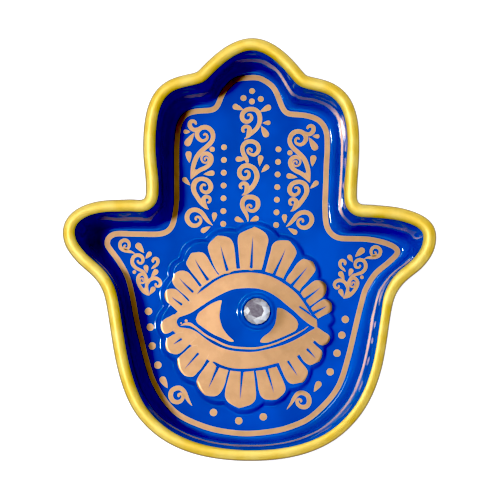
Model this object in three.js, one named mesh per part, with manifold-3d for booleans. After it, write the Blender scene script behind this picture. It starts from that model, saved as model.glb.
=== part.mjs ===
// A hand-shaped trinket dish of glazed ceramic: a gilded lip, an eye raised on a flower in the palm with a
// cut stone for its light, and copper foil ornament on the floor. Millimetres, +Z up, fingers towards +Y,
// and the origin under the middle of the dish.
import * as THREE from 'three';
import { mergeVertices } from 'three/addons/utils/BufferGeometryUtils.js';
import Module from 'manifold-3d';

const wasm = await Module();
wasm.setup();

// The dish
const fingerReach = 63.2; // origin to the tip of the middle finger
const heelReach = 63.2; // origin to the heel of the hand
const thumbReach = 56; // origin to the tip of each thumb
const fingerHalf = 32.4; // half the width across the fingers
const fingerWaist = 0.8; // how far the sides draw in above the thumbs
const rimHeight = 22;
const floorHeight = 4; // top of the floor
const wallRun = 8.4; // how far the wall comes in from lip to floor
const thumbRun = 11.3; // the same at a thumb's tip
const lipWidth = 4;
const footInset = 5.2; // from the lip to the outside of the foot
const footChamfer = 1;
const footRecess = 0.8;
const coveRun = 2.4; // the rounding where the wall meets the floor
const coveRise = 3.2;
const coveSteps = 3;

// Gold and foil
const filmGap = 0.1;
const gildThickness = 0.3;
const foilThickness = 0.12;
const borderWidth = 1.65;
const trimClear = 0.3; // foil to whatever it must keep off

// The raised flower, the pupil boss and the stone
const reliefHeight = 2.4;
const reliefMargin = 0.8; // flat top outside each petal
const reliefSlope = 0.8; // run of its sloping side
const heart = { x: -0.4, y: -20.7, halfWidth: 20.9, halfHeight: 16.2 };
const stoneAt = { x: 2.4, y: -17.8 };
const stoneDiameter = 8;
const stoneHeight = 2.4;
const girdleHeight = 0.6;
const tableDiameter = 4.4;
const stoneFacets = 16;
const bossMargin = 0.9; // boss top outside the stone
const bossHeight = 0.8;
const bossSlope = 0.5;
const seatDepth = 0.9;
const seatClear = 0.2;
const cementThickness = 0.3;
const mirrorThickness = 0.1;
const layerGap = 0.05;

// The eye
const iris = { x: 0.1, y: -19.2, radius: 8.8 };
const lashWidth = 0.7;

// Dots
const smallDot = 0.95;
const largeDot = 1.2;
const dotSides = 12;
const columnDots = 7;
const columnTop = 32.2;
const columnPitch = 3.9;

// Petals and scrolls, in shares of their own width or radius
const petalHead = { start: 0.85, swell: 0.45, round: 0.6 };
const scroll = { eye: 0.25, pull: 0.35, winding: 1.6, fade: 0.55 };
const vineInset = 7.4; // side vine to the floor's edge

const fewestSteps = 3; // on each stretch of the outline
const stepLength = 4.5; // longest step on it
const lipSteps = 6;
const strokeSteps = 7;
const curveSteps = 6;
const roundSides = 32;
const lidSteps = 18;

const dish = new THREE.Group();

function finish(color, roughness, metalness) {
  return new THREE.MeshStandardMaterial({ color, roughness, metalness });
}
const cobaltGlaze = () => finish(0x0a48bd, 0.08, 0);
const gold = () => finish(0xe2c14b, 0.25, 1);
const copperFoil = () => finish(0xd8a374, 0.35, 1);

function addPiece(name, geometry, material) {
  const piece = new THREE.Mesh(geometry, material);
  piece.name = name;
  dish.add(piece);
}

// Solids for joining and cutting

function toSolid(geometry) {
  const bare = geometry.clone();
  bare.deleteAttribute('normal');
  bare.deleteAttribute('uv');
  const merged = mergeVertices(bare, 1e-5);
  const vertProperties = new Float32Array(merged.attributes.position.array);
  const triVerts = new Uint32Array(merged.index.array);
  return new wasm.Manifold(new wasm.Mesh({ numProp: 3, vertProperties, triVerts }));
}

function toGeometry(solid) {
  const mesh = solid.getMesh();
  const geometry = new THREE.BufferGeometry();
  geometry.setAttribute('position', new THREE.BufferAttribute(mesh.vertProperties, 3));
  geometry.setIndex(new THREE.BufferAttribute(mesh.triVerts, 1));
  geometry.computeVertexNormals();
  return geometry;
}

function joined(geometries) {
  return geometries.map(toSolid).reduce((all, next) => all.add(next));
}

function slab(shape, bottom, thickness) {
  const settings = { depth: thickness, bevelEnabled: false, curveSegments: curveSteps };
  return new THREE.ExtrudeGeometry(shape, settings).translate(0, 0, bottom);
}

// The outline of the right half, from the middle finger round to the heel. Each place has its heading in
// degrees, the reach of the curve before and after it, and how far inwards the floor's edge lies, in wall
// runs. The narrow thumbs state the floor's place itself.
const outline = [
  { x: 0, y: fingerReach, heading: 0, before: 0, after: 8.4, inward: 0.98 },
  { x: 16.2, y: 52.7, heading: -32, before: 1.5, after: 1.5, inward: 1.15 }, // notch beside the finger
  { x: 25.5, y: 49.7, heading: -32, before: 4, after: 5.8, inward: 1.08 },
  { x: fingerHalf, y: 32.7, heading: -89, before: 8.4, after: 8, inward: 1.04 },
  { x: fingerHalf - fingerWaist, y: 16.7, heading: -90, before: 6.4, after: 3.5, inward: 0.94 },
  { x: 36.8, y: 14, heading: -4, before: 3.5, after: 4.3, inward: 0.95 }, // crook of the thumb
  { x: 47.4, y: 12.8, heading: -16, before: 3.9, after: 5, floor: { x: 41.4, y: 5.6 } },
  { x: thumbReach, y: 4.2, heading: -90, before: 4.6, after: 4, floor: { x: thumbReach - thumbRun, y: 3 } },
  { x: 52, y: -4.8, heading: -132, before: 3, after: 4, floor: { x: 42.2, y: 0.2 } },
  { x: 43.3, y: -15.3, heading: -105, before: 6.3, after: 4.6, inward: 1 },
  { x: 39.7, y: -35.3, heading: -104, before: 6.6, after: 8.3, inward: 1.1 },
  { x: 31.6, y: -51.4, heading: -131, before: 4.7, after: 8.5, inward: 1.1 },
  { x: 0, y: -heelReach, heading: -180, before: 17.3, after: 0, inward: 0.98 },
];

function headingOf(place) {
  const turn = THREE.MathUtils.degToRad(place.heading);
  return new THREE.Vector2(Math.cos(turn), Math.sin(turn));
}

function floorPlace(place) {
  if (place.floor) return new THREE.Vector2(place.floor.x, place.floor.y);
  const heading = headingOf(place);
  const inward = new THREE.Vector2(heading.y, -heading.x);
  return rimPlace(place).addScaledVector(inward, wallRun * place.inward);
}

// The closed loop through the rim's places, or through the floor's, where each reach scales with its stretch.
function edgeLoop(placeOf) {
  const rightHalf = [];
  for (let i = 0; i + 1 < outline.length; i += 1) {
    const [from, to] = [outline[i], outline[i + 1]];
    const [start, end] = [placeOf(from), placeOf(to)];
    const rimLength = rimPlace(from).distanceTo(rimPlace(to));
    const scale = start.distanceTo(end) / rimLength;
    const leave = start.clone().addScaledVector(headingOf(from), from.after * scale);
    const arrive = end.clone().addScaledVector(headingOf(to), -to.before * scale);
    const stretch = new THREE.CubicBezierCurve(start, leave, arrive, end);
    const steps = Math.max(fewestSteps, Math.ceil(rimLength / stepLength));
    rightHalf.push(...stretch.getPoints(steps).slice(0, -1));
  }
  const heel = placeOf(outline.at(-1));
  const leftHalf = rightHalf.slice(1).reverse().map((p) => new THREE.Vector2(-p.x, p.y));
  return [...rightHalf, heel, ...leftHalf];
}

function rimPlace(place) {
  return new THREE.Vector2(place.x, place.y);
}

const rimLoop = edgeLoop(rimPlace);
const floorLoop = edgeLoop(floorPlace);

// The loop a distance inwards from the lip. Past the wall's run it lies on the floor.
function wallLoop(inset) {
  return rimLoop.map((p, i) => p.clone().lerp(floorLoop[i], inset / wallRun));
}

// Half the floor's width at a height along the palm's side, where the edge runs steadily down.
function palmEdge(y) {
  const below = floorLoop.findIndex((p) => p.x > 0 && p.y < y);
  const [high, low] = [floorLoop[below - 1], floorLoop[below]];
  return THREE.MathUtils.mapLinear(y, high.y, low.y, high.x, low.x);
}

// A skin over a stack of loops that run clockwise. It is closed by flat ends, or by joining the last loop to
// the first.
function loft(rings, endsFlat) {
  const count = rings[0].length;
  const corners = rings.flat().flatMap((p) => [p.x, p.y, p.z]);
  const faces = [];
  const bands = endsFlat ? rings.length - 1 : rings.length;
  for (let ring = 0; ring < bands; ring += 1) {
    const next = (ring + 1) % rings.length;
    for (let i = 0; i < count; i += 1) {
      const j = (i + 1) % count;
      const [a, b] = [ring * count + i, ring * count + j];
      const [c, d] = [next * count + i, next * count + j];
      faces.push(a, c, b, b, c, d);
    }
  }
  if (endsFlat) {
    const last = (rings.length - 1) * count;
    const flat = (ring) => ring.map((p) => new THREE.Vector2(p.x, p.y));
    const fill = (ring) => THREE.ShapeUtils.triangulateShape(flat(ring), []);
    fill(rings[0]).forEach(([a, b, c]) => faces.push(a, c, b));
    fill(rings.at(-1)).forEach(([a, b, c]) => faces.push(last + a, last + b, last + c));
  }
  const geometry = new THREE.BufferGeometry();
  geometry.setAttribute('position', new THREE.Float32BufferAttribute(corners, 3));
  geometry.setIndex(faces);
  geometry.computeVertexNormals();
  return geometry;
}

function ringAt(loop, z) {
  return loop.map((p) => new THREE.Vector3(p.x, p.y, z));
}

// The lip's section is a half round of this radius about one centre line.
const lipRadius = lipWidth / 2;
const lipCentre = rimHeight - lipRadius;

function lipArc(radius) {
  return Array.from({ length: lipSteps + 1 }, (_, i) => {
    const turn = (Math.PI * i) / lipSteps;
    return ringAt(wallLoop(lipRadius - radius * Math.cos(turn)), lipCentre + radius * Math.sin(turn));
  });
}

// Petals: base, tip, width at the base and width at the head. The outer petals grow out of the lids.
const petalRows = {
  upper: [
    [-12.3, -8.6, -16.7, -0.2, 5.6, 6.8],
    [-6.5, -5.9, -9.2, 5, 5.2, 7.8],
    [0.6, -5, 1.2, 7.8, 6.8, 9.2],
    [7.5, -6.5, 11.6, 3.9, 5.8, 7.6],
    [13.4, -9.8, 18.6, -1.9, 5, 6],
    [17.6, -14.1, 23, -8.8, 4.4, 4.7],
    [20.5, -18.3, 25.3, -15.2, 3, 3.8],
  ],
  lower: [
    [-9.3, -35, -11.4, -44.2, 5.8, 8],
    [-1.8, -36.4, -2, -47.2, 7.4, 9],
    [6, -35.6, 7.8, -44.7, 5.8, 7.5],
  ],
  fromLids: [
    [-15.6, -14.2, -21.6, -6.4, 5.4, 5.5],
    [-18.8, -17.2, -24.8, -12, 4.6, 4.3],
    [-20.4, -21.2, -26.6, -22.8, 5.4, 5],
    [-18.6, -25.8, -24.2, -30.6, 6.2, 6],
    [-13.8, -29.4, -18.9, -37.7, 6.6, 6.8],
    [11.8, -31.6, 15.9, -39.6, 6.2, 6.2],
    [16.4, -28.2, 21.6, -32.8, 5.8, 5.2],
    [18.8, -24.2, 25, -26, 4.8, 4.2],
  ],
};

// A petal drawn from its base: straight flanks that widen to a rounded head.
function petalShape([baseX, baseY, tipX, tipY, baseWidth, headWidth], margin) {
  const base = new THREE.Vector2(baseX, baseY);
  const axis = new THREE.Vector2(tipX, tipY).sub(base);
  const length = axis.length() + margin;
  const ahead = axis.normalize();
  const aside = new THREE.Vector2(-ahead.y, ahead.x);
  const at = (along, across) => base.clone().addScaledVector(ahead, along).addScaledVector(aside, across);
  const baseHalf = baseWidth / 2 + margin;
  const headHalf = headWidth / 2 + margin;
  const shoulder = length - headHalf * petalHead.start;
  const cheek = shoulder + headHalf * petalHead.swell;
  const crownHalf = headHalf * petalHead.round;
  const shape = new THREE.Shape([at(0, baseHalf), at(0, -baseHalf), at(shoulder, -headHalf)]);
  const round = (...points) => shape.bezierCurveTo(...points.flatMap((p) => [p.x, p.y]));
  round(at(cheek, -headHalf), at(length, -crownHalf), at(length, 0));
  round(at(length, crownHalf), at(cheek, headHalf), at(shoulder, headHalf));
  return shape;
}

// The cove is a quarter of an ellipse from the wall down to the floor.
function coveRings() {
  return Array.from({ length: coveSteps + 1 }, (_, i) => {
    const turn = (Math.PI / 2) * (i / coveSteps);
    const height = floorHeight + coveRise * (1 - Math.sin(turn));
    return ringAt(wallLoop(wallRun - coveRun * Math.cos(turn)), height);
  });
}

// The body: foot, outer wall, lip, inner wall with its cove, and floor.
const bodyLip = lipRadius - gildThickness - filmGap;
const bodyRings = [
  ringAt(floorLoop, footRecess),
  ringAt(floorLoop, 0),
  ringAt(wallLoop(footInset), 0),
  ringAt(wallLoop(footInset - footChamfer), footChamfer),
  ...lipArc(bodyLip),
  ...coveRings(),
];
const reliefTop = floorHeight + reliefHeight;
const bossTop = reliefTop + bossHeight;
const seatFloor = bossTop - seatDepth;

// A shape's corners, clockwise and none of them twice.
function cornersOf(shape) {
  const points = shape.getPoints(curveSteps);
  if (points[0].distanceTo(points.at(-1)) < filmGap) points.pop();
  return THREE.ShapeUtils.isClockWise(points) ? points : points.reverse();
}

// A raised block with sloping sides, rooted in the middle of the floor so that it joins it.
function raised(shapeAt) {
  const foot = cornersOf(shapeAt(reliefMargin + reliefSlope));
  const top = cornersOf(shapeAt(reliefMargin));
  const root = (footRecess + floorHeight) / 2;
  return loft([ringAt(foot, root), ringAt(foot, floorHeight), ringAt(top, reliefTop)], true);
}

// The heart lies under the eye, inside the ring of petals.
function heartShape(margin) {
  const { x, y, halfWidth, halfHeight } = heart;
  return new THREE.Shape().absellipse(x, y, halfWidth + margin, halfHeight + margin, 0, Math.PI * 2);
}

const allPetals = Object.values(petalRows).flat();

function disc(radius, bottom, thickness, sides) {
  return new THREE.CylinderGeometry(radius, radius, thickness, sides)
    .rotateX(Math.PI / 2)
    .translate(0, 0, bottom + thickness / 2);
}

function atStone(geometry) {
  return geometry.translate(stoneAt.x, stoneAt.y, 0);
}

// A turned piece about the stone's axis, from a profile of radius and height.
function turned(profile, sides) {
  const points = profile.map(([radius, height]) => new THREE.Vector2(radius, height));
  return atStone(new THREE.LatheGeometry(points, sides).rotateX(Math.PI / 2));
}

const stoneRadius = stoneDiameter / 2;
const bossRadius = stoneRadius + bossMargin;
const bossFoot = bossRadius + bossSlope;

function bossProfile(grow) {
  return [
    [0, reliefTop - reliefHeight / 2],
    [bossFoot + grow, reliefTop - reliefHeight / 2],
    [bossFoot + grow, reliefTop],
    [bossRadius + grow, bossTop],
    [0, bossTop],
  ];
}

const flower = [heartShape, ...allPetals.map((row) => (margin) => petalShape(row, margin))];
const seat = atStone(disc(stoneRadius + seatClear, seatFloor, seatDepth + bossHeight, roundSides));
const body = toSolid(loft(bodyRings, true))
  .add(joined(flower.map(raised)))
  .add(toSolid(turned(bossProfile(0), roundSides)))
  .subtract(toSolid(seat));
addPiece('dish_body', toGeometry(body), cobaltGlaze());

// Gilding: a thin half-round cap over the lip.
const gildRings = [...lipArc(lipRadius), ...lipArc(bodyLip + filmGap).reverse()];
addPiece('rim_gilding', loft(gildRings, false), gold());

// The stone in its seat: cement, mirror backing, then the cut stone.
const cementBottom = seatFloor + layerGap;
const mirrorBottom = cementBottom + cementThickness + layerGap;
const stoneBottom = mirrorBottom + mirrorThickness + layerGap;
const cement = disc(stoneRadius, cementBottom, cementThickness, roundSides);
addPiece('stone_cement', atStone(cement), finish(0xd8d4c8, 0.7, 0));
const mirror = disc(stoneRadius, mirrorBottom, mirrorThickness, roundSides);
addPiece('stone_foil', atStone(mirror), finish(0xc8ccd2, 0.1, 1));
const stoneProfile = [
  [0, stoneBottom],
  [stoneRadius, stoneBottom],
  [stoneRadius, stoneBottom + girdleHeight],
  [tableDiameter / 2, stoneBottom + stoneHeight],
  [0, stoneBottom + stoneHeight],
];
addPiece('eye_stone', turned(stoneProfile, stoneFacets), finish(0xe8ecf4, 0.03, 0));

// Foil on the floor
const floorFoil = floorHeight + filmGap;
const borderOuter = wallLoop(wallRun + filmGap);
const borderInner = wallLoop(wallRun + filmGap + borderWidth);
const borderRings = [
  ringAt(borderOuter, floorFoil),
  ringAt(borderOuter, floorFoil + foilThickness),
  ringAt(borderInner, floorFoil + foilThickness),
  ringAt(borderInner, floorFoil),
];
addPiece('border_line', loft(borderRings, false), copperFoil());

// Foil keeps inside the border line and off the raised flower.
const fieldEdge = wallLoop(wallRun + filmGap + borderWidth + trimClear);
const field = toSolid(slab(new THREE.Shape(fieldEdge), 0, rimHeight));
const flowerClear = reliefMargin + reliefSlope + trimClear;
const keepOff = joined(flower.map((shapeAt) => slab(shapeAt(flowerClear), 0, rimHeight)));

// What a trim cuts off is dropped.
function largest(solid) {
  return solid.decompose().reduce((most, next) => (next.volume() > most.volume() ? next : most));
}

function addFloorFoil(name, geometries) {
  const trimmed = joined(geometries).intersect(field).subtract(keepOff);
  addPiece(name, toGeometry(largest(trimmed)), copperFoil());
}

function addDot(name, x, y, radius) {
  addFloorFoil(name, [disc(radius, floorFoil, foilThickness, dotSides).translate(x, y, 0)]);
}

const floorHeel = floorPlace(outline.at(-1)).y;
const fingerSide = floorPlace(outline[3]).x;
const palmSide = floorPlace(outline[9]).x;

// The crown is a diamond of four dots above the middle vine.
const crown = { foot: 46.7, half: 2.65, shoulder: 0.9, top: 3.2 };
addDot('crown_dot_1', 0, crown.foot + crown.top, smallDot);
addDot('crown_dot_2', -crown.half, crown.foot + crown.shoulder, smallDot);
addDot('crown_dot_3', crown.half, crown.foot + crown.shoulder, smallDot);
addDot('crown_dot_4', 0, crown.foot, smallDot);

// A column of dots stands half way between the middle vine and each side vine.
const vineLine = fingerSide - vineInset;
for (let i = 0; i < columnDots; i += 1) {
  const y = columnTop - i * columnPitch;
  addDot(`left_column_dot_${i + 1}`, -vineLine / 2, y, smallDot);
  addDot(`right_column_dot_${i + 1}`, vineLine / 2, y, smallDot);
}

// The palm's dots follow the floor's edge on each side.
const leftPalm = { inset: 3.25, heights: [-18.1, -22.9, -28.6, -34.4] };
const rightPalm = { inset: 4.7, heights: [-19.7, -24.5, -30, -35.7] };
leftPalm.heights.forEach((y, i) => {
  addDot(`left_palm_dot_${i + 1}`, leftPalm.inset - palmEdge(y), y, largeDot);
});
rightPalm.heights.forEach((y, i) => {
  addDot(`right_palm_dot_${i + 1}`, palmEdge(y) - rightPalm.inset, y, largeDot);
});
const wristDots = [[-10.3, 6.5], [-2.6, 4.1], [4.8, 5.4]]; // across, and above the floor's heel
wristDots.forEach(([x, rise], i) => addDot(`wrist_dot_${i + 1}`, x, floorHeel + rise, largeDot));

// Scrolls: a stroke that leaves its tip along a lead angle, sweeps to a ring and winds into it.
function scrollShape({ at, radius, from, turns, hand, width, tip, lead }) {
  const eyeRadius = radius * scroll.eye;
  const ringPoint = (share) => {
    const turn = THREE.MathUtils.degToRad(from + hand * 360 * turns * share);
    const reach = THREE.MathUtils.lerp(radius, eyeRadius, share);
    return new THREE.Vector2(at[0] + reach * Math.cos(turn), at[1] + reach * Math.sin(turn));
  };
  const start = ringPoint(0);
  const end = new THREE.Vector2(...tip);
  const turn = THREE.MathUtils.degToRad(from);
  const heading = new THREE.Vector2(-Math.sin(turn), Math.cos(turn)).multiplyScalar(hand);
  const pull = start.distanceTo(end) * scroll.pull;
  const leadTurn = THREE.MathUtils.degToRad(lead);
  const leadOut = new THREE.Vector2(Math.cos(leadTurn), Math.sin(leadTurn));
  const leave = end.clone().addScaledVector(leadOut, pull);
  const arrive = start.clone().addScaledVector(heading, -pull);
  const tail = new THREE.CubicBezierCurve(end, leave, arrive, start).getPoints(strokeSteps).slice(0, -1);
  const winding = Math.ceil(strokeSteps * scroll.winding * turns);
  const path = [...tail, ...Array.from({ length: winding + 1 }, (_, i) => ringPoint(i / winding))];
  const halfWidths = path.map((_, i) => {
    const swell = Math.min(1, (i + 1) / tail.length);
    const fade = Math.max(0, (i - tail.length) / winding);
    return (width / 2) * swell * (1 - fade * scroll.fade);
  });
  return strokeShape(path, halfWidths);
}

// The outline of a stroke: its two edges, one out and one back.
function strokeShape(path, halfWidths) {
  const edge = (side) => path.map((p, i) => {
    const before = path[Math.max(i - 1, 0)];
    const after = path[Math.min(i + 1, path.length - 1)];
    const heading = after.clone().sub(before).normalize();
    return new THREE.Vector2(p.x - heading.y * side * halfWidths[i], p.y + heading.x * side * halfWidths[i]);
  });
  return new THREE.Shape([...edge(1), ...edge(-1).reverse()]);
}

function addScrolls(name, scrolls) {
  const strokes = scrolls.map((one) => slab(scrollShape(one), floorFoil, foilThickness));
  addFloorFoil(name, strokes);
}

function mirrored({ at, from, hand, tip, lead, ...rest }) {
  return {
    at: [-at[0], at[1]],
    tip: [-tip[0], tip[1]],
    from: 180 - from,
    lead: 180 - lead,
    hand: -hand,
    ...rest,
  };
}

function shifted({ at, tip, ...rest }, across) {
  return { at: [at[0] + across, at[1]], tip: [tip[0] + across, tip[1]], ...rest };
}

// The middle finger's vine: two hooked scrolls, each with a plain one below it.
const middleVine = [
  { at: [0.1, 42], radius: 2.3, from: -30, turns: 1.3, hand: 1, width: 1.2, tip: [-1.4, 33.6], lead: 40 },
  { at: [-1.7, 37.7], radius: 1.1, from: -20, turns: 0.8, hand: 1, width: 0.9, tip: [-0.2, 35.6], lead: 80 },
  { at: [0.1, 32], radius: 2.3, from: 200, turns: 1.3, hand: -1, width: 1.2, tip: [-0.5, 26.7], lead: 120 },
  { at: [-0.7, 24.5], radius: 2.35, from: -30, turns: 1.3, hand: 1, width: 1.2, tip: [-1.4, 16.5], lead: 40 },
  { at: [-2.3, 20.3], radius: 1.1, from: -20, turns: 0.8, hand: 1, width: 0.9, tip: [-0.3, 18.1], lead: 80 },
  { at: [0.1, 15], radius: 2.3, from: 200, turns: 1.3, hand: -1, width: 1.2, tip: [-0.6, 9.3], lead: 120 },
];
addScrolls('middle_vine', middleVine);

// A side vine from the top: curl, scroll, leaf, scroll with its curl, and the foot.
const sideVine = [
  { at: [1.7, 39], radius: 1.25, from: -110, turns: 0.8, hand: 1, width: 0.9, tip: [-1.4, 37.6], lead: 10 },
  { at: [-1.9, 35.3], radius: 2.5, from: 200, turns: 1.3, hand: -1, width: 1.25, tip: [0.3, 20.9], lead: 80 },
  { at: [-2.6, 28.3], radius: 1.9, from: 240, turns: 1.3, hand: -1, width: 1.2, tip: [1.6, 23.2], lead: 150 },
  { at: [-1.9, 19.7], radius: 2.6, from: -20, turns: 1.3, hand: 1, width: 1.25, tip: [-3.4, 10.1], lead: 40 },
  { at: [-3.3, 16], radius: 1.1, from: -20, turns: 0.8, hand: 1, width: 0.9, tip: [-1.4, 13.4], lead: 80 },
  { at: [0.7, 10.2], radius: 2.25, from: 125, turns: 1.3, hand: -1, width: 1.15, tip: [-5.2, 8.2], lead: 45 },
].map((one) => shifted(one, vineLine));
addScrolls('right_vine', sideVine);
addScrolls('left_vine', sideVine.map(mirrored));

// A thumb's vine: a curl at the tip, a scroll, and a leaf beside a curl.
const thumbVine = [
  { at: [3.1, 1.3], radius: 1.5, from: -100, turns: 1.2, hand: 1, width: 0.95, tip: [-0.3, -1.6], lead: 20 },
  { at: [-1.2, -2.9], radius: 1.6, from: -40, turns: 1.2, hand: 1, width: 0.95, tip: [-2.8, -6.8], lead: 20 },
  { at: [-2.9, -8.7], radius: 1.9, from: -30, turns: 1.3, hand: 1, width: 1.1, tip: [-5.3, -13.4], lead: 40 },
  { at: [-7, -9.8], radius: 1.35, from: -10, turns: 1, hand: 1, width: 0.9, tip: [-5.1, -13.2], lead: 90 },
].map((one) => shifted(one, palmSide));
addScrolls('right_thumb_vine', thumbVine);
addScrolls('left_thumb_vine', thumbVine.map(mirrored));

const curl = { radius: 2.3, turns: 1.3, width: 1.2 };
const rightCurl = { ...curl, at: [16.1, floorHeel + 10.3], from: 160, hand: -1 };
const leftCurl = { ...curl, at: [-20.9, floorHeel + 11.2], from: 20, hand: 1 };
addScrolls('right_wrist_curl', [{ ...rightCurl, tip: [12, floorHeel + 7.5], lead: 60 }]);
addScrolls('left_wrist_curl', [{ ...leftCurl, tip: [-16.7, floorHeel + 8.3], lead: 120 }]);

// Foil on the flower
const flowerFoil = reliefTop + filmGap;

for (const row of ['upper', 'lower']) {
  petalRows[row].forEach((petal, i) => {
    addPiece(`${row}_petal_${i + 1}`, slab(petalShape(petal, 0), flowerFoil, foilThickness), copperFoil());
  });
}

function along(points) {
  return new THREE.SplineCurve(points.map(([x, y]) => new THREE.Vector2(x, y)));
}

// The lids: the edges next to the petals, and the edges next to the eye.
const browEdge = along([
  [-19, -15.9], [-15.8, -13.5], [-8.6, -8], [0.1, -6.1], [7.3, -7.3], [14.3, -11.8], [20.6, -20.4],
]);
const upperEdge = along([
  [-21.6, -20.6], [-15.9, -16.9], [-6.2, -11.9], [-0.2, -11.1], [6.2, -12.2], [13, -16.6], [20.6, -21.6],
]);
const lowerEdge = along([
  [-21.6, -22.9], [-17, -24.3], [-8.4, -29], [-0.8, -30.5], [6.8, -29.2], [14, -26], [20.6, -22.9],
]);
const cheekEdge = along([
  [-21.6, -24], [-17.5, -28.4], [-9.8, -33.4], [-2, -35.6], [6.9, -34.2], [15, -29.5], [20.6, -24.6],
]);

function bandShape(upper, lower) {
  return new THREE.Shape([...upper.getPoints(lidSteps), ...lower.getPoints(lidSteps).reverse()]);
}

const corner = new THREE.Shape().absellipse(-21.8, -21.8, 1.6, 3.6, 0, Math.PI * 2); // where the lids meet
const eyeSlot = bandShape(upperEdge, lowerEdge);
const lids = joined(
  [bandShape(browEdge, upperEdge), bandShape(lowerEdge, cheekEdge), corner]
    .concat(petalRows.fromLids.map((petal) => petalShape(petal, 0)))
    .map((shape) => slab(shape, flowerFoil, foilThickness)),
);
const freePetals = joined(
  [...petalRows.upper, ...petalRows.lower].map((petal) => slab(petalShape(petal, trimClear), 0, rimHeight)),
);
const openLids = lids.subtract(toSolid(slab(eyeSlot, 0, rimHeight))).subtract(freePetals);
addPiece('eye_lids', toGeometry(openLids), copperFoil());

// The whites lie between the iris and the corners, clear of the pupil boss.
const bossKeepOff = toSolid(turned(bossProfile(trimClear), roundSides));

function addWhite(name, { top, corner: edge, tip, bulgeTop, bulgeLow }) {
  const angle = ([x, y]) => Math.atan2(y - iris.y, x - iris.x);
  const shape = new THREE.Shape();
  shape.moveTo(...top);
  shape.bezierCurveTo(...bulgeTop[0], ...bulgeTop[1], ...edge);
  shape.bezierCurveTo(...bulgeLow[0], ...bulgeLow[1], ...tip);
  shape.absarc(iris.x, iris.y, iris.radius, angle(tip), angle(top), top[0] < iris.x);
  const white = toSolid(slab(shape, flowerFoil, foilThickness)).subtract(bossKeepOff);
  addPiece(name, toGeometry(white), copperFoil());
}

addWhite('left_eye_white', {
  top: [-8.2, -14.9],
  corner: [-15.9, -20],
  tip: [-4.6, -26.8],
  bulgeTop: [[-11.5, -15], [-15.8, -17.2]],
  bulgeLow: [[-15.9, -22.6], [-8.5, -26.2]],
});
addWhite('right_eye_white', {
  top: [8.7, -16.8],
  corner: [14.9, -21.2],
  tip: [3.8, -27.2],
  bulgeTop: [[11.5, -16.9], [14.8, -18.6]],
  bulgeLow: [[15, -23.6], [8.5, -26.8]],
});

const lash = along([[-20, -22.2], [-17, -23.2], [-8.5, -28.1], [-0.8, -29.5], [6.8, -28.1], [17.6, -22.9]]);
const lashPath = lash.getPoints(lidSteps);
const lashShape = strokeShape(lashPath, lashPath.map(() => lashWidth / 2));
addPiece('lash_line', slab(lashShape, flowerFoil, foilThickness), copperFoil());

export default dish;
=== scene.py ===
import math
import bmesh
import bpy
import numpy as np
from mathutils import Matrix


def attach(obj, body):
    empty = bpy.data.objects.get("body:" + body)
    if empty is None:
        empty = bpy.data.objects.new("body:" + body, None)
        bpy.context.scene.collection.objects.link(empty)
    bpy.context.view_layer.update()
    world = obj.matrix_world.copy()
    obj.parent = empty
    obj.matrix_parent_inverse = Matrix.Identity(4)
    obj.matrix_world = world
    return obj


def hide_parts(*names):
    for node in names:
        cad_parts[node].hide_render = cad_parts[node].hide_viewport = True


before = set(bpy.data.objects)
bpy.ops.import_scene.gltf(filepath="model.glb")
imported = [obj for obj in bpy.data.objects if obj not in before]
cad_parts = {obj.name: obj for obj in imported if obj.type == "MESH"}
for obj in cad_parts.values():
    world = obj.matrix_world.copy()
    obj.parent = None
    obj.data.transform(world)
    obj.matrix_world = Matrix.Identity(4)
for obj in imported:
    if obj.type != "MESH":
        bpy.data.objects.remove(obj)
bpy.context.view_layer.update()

mm = 0.001  # shapes are worked out in millimetres and put in as metres
weld = 0.003 * mm  # points nearer than this become one


# a smooth rise from 0 to 1: three t squared less two t cubed
def rise(t):
    t = np.clip(t, 0, 1)
    return t * t * (3 - 2 * t)


# how far along a line each of its points is
def runOf(line):
    return np.insert(np.cumsum(np.hypot(*np.diff(line[:, :2], axis=0).T)), 0, 0)


# a smooth line through rows of numbers, each stretch a cubic whose slope at a row is half the way between its
# neighbours; the line is then cut at even steps of its length in the first two columns, past a length left off
def lineThrough(rows, count, leftOff=0.0):
    p = np.asarray(rows, float)
    p = np.vstack([2 * p[0] - p[1], p, 2 * p[-1] - p[-2]])
    t = np.linspace(0, len(p) - 3, 24 * (len(p) - 3) + 1)
    i = np.minimum(t.astype(int), len(p) - 4)
    f = (t - i)[:, None]
    a, b, c, d = p[i], p[i + 1], p[i + 2], p[i + 3]
    fine = b + 0.5 * f * (c - a + f * (2 * a - 5 * b + 4 * c - d + f * (3 * (b - c) + d - a)))
    run = runOf(fine)
    at = np.linspace(leftOff, run[-1], count)
    return np.stack([np.interp(at, run, column) for column in fine.T], -1)


# the unit direction to the left of a line at each of its points
def leftOf(line):
    ahead = np.gradient(line[:, :2], axis=0)
    ahead /= np.hypot(ahead[:, 0], ahead[:, 1])[:, None] + 1e-9
    return np.stack([-ahead[:, 1], ahead[:, 0]], -1)


# points that lie together become one, and the faces of a closed body are turned outwards
def joinUp(mesh, turnOut):
    whole = bmesh.new()
    whole.from_mesh(mesh)
    bmesh.ops.remove_doubles(whole, verts=whole.verts, dist=weld)
    if turnOut:
        bmesh.ops.recalc_face_normals(whole, faces=whole.faces)
    whole.to_mesh(mesh)
    whole.free()


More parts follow.
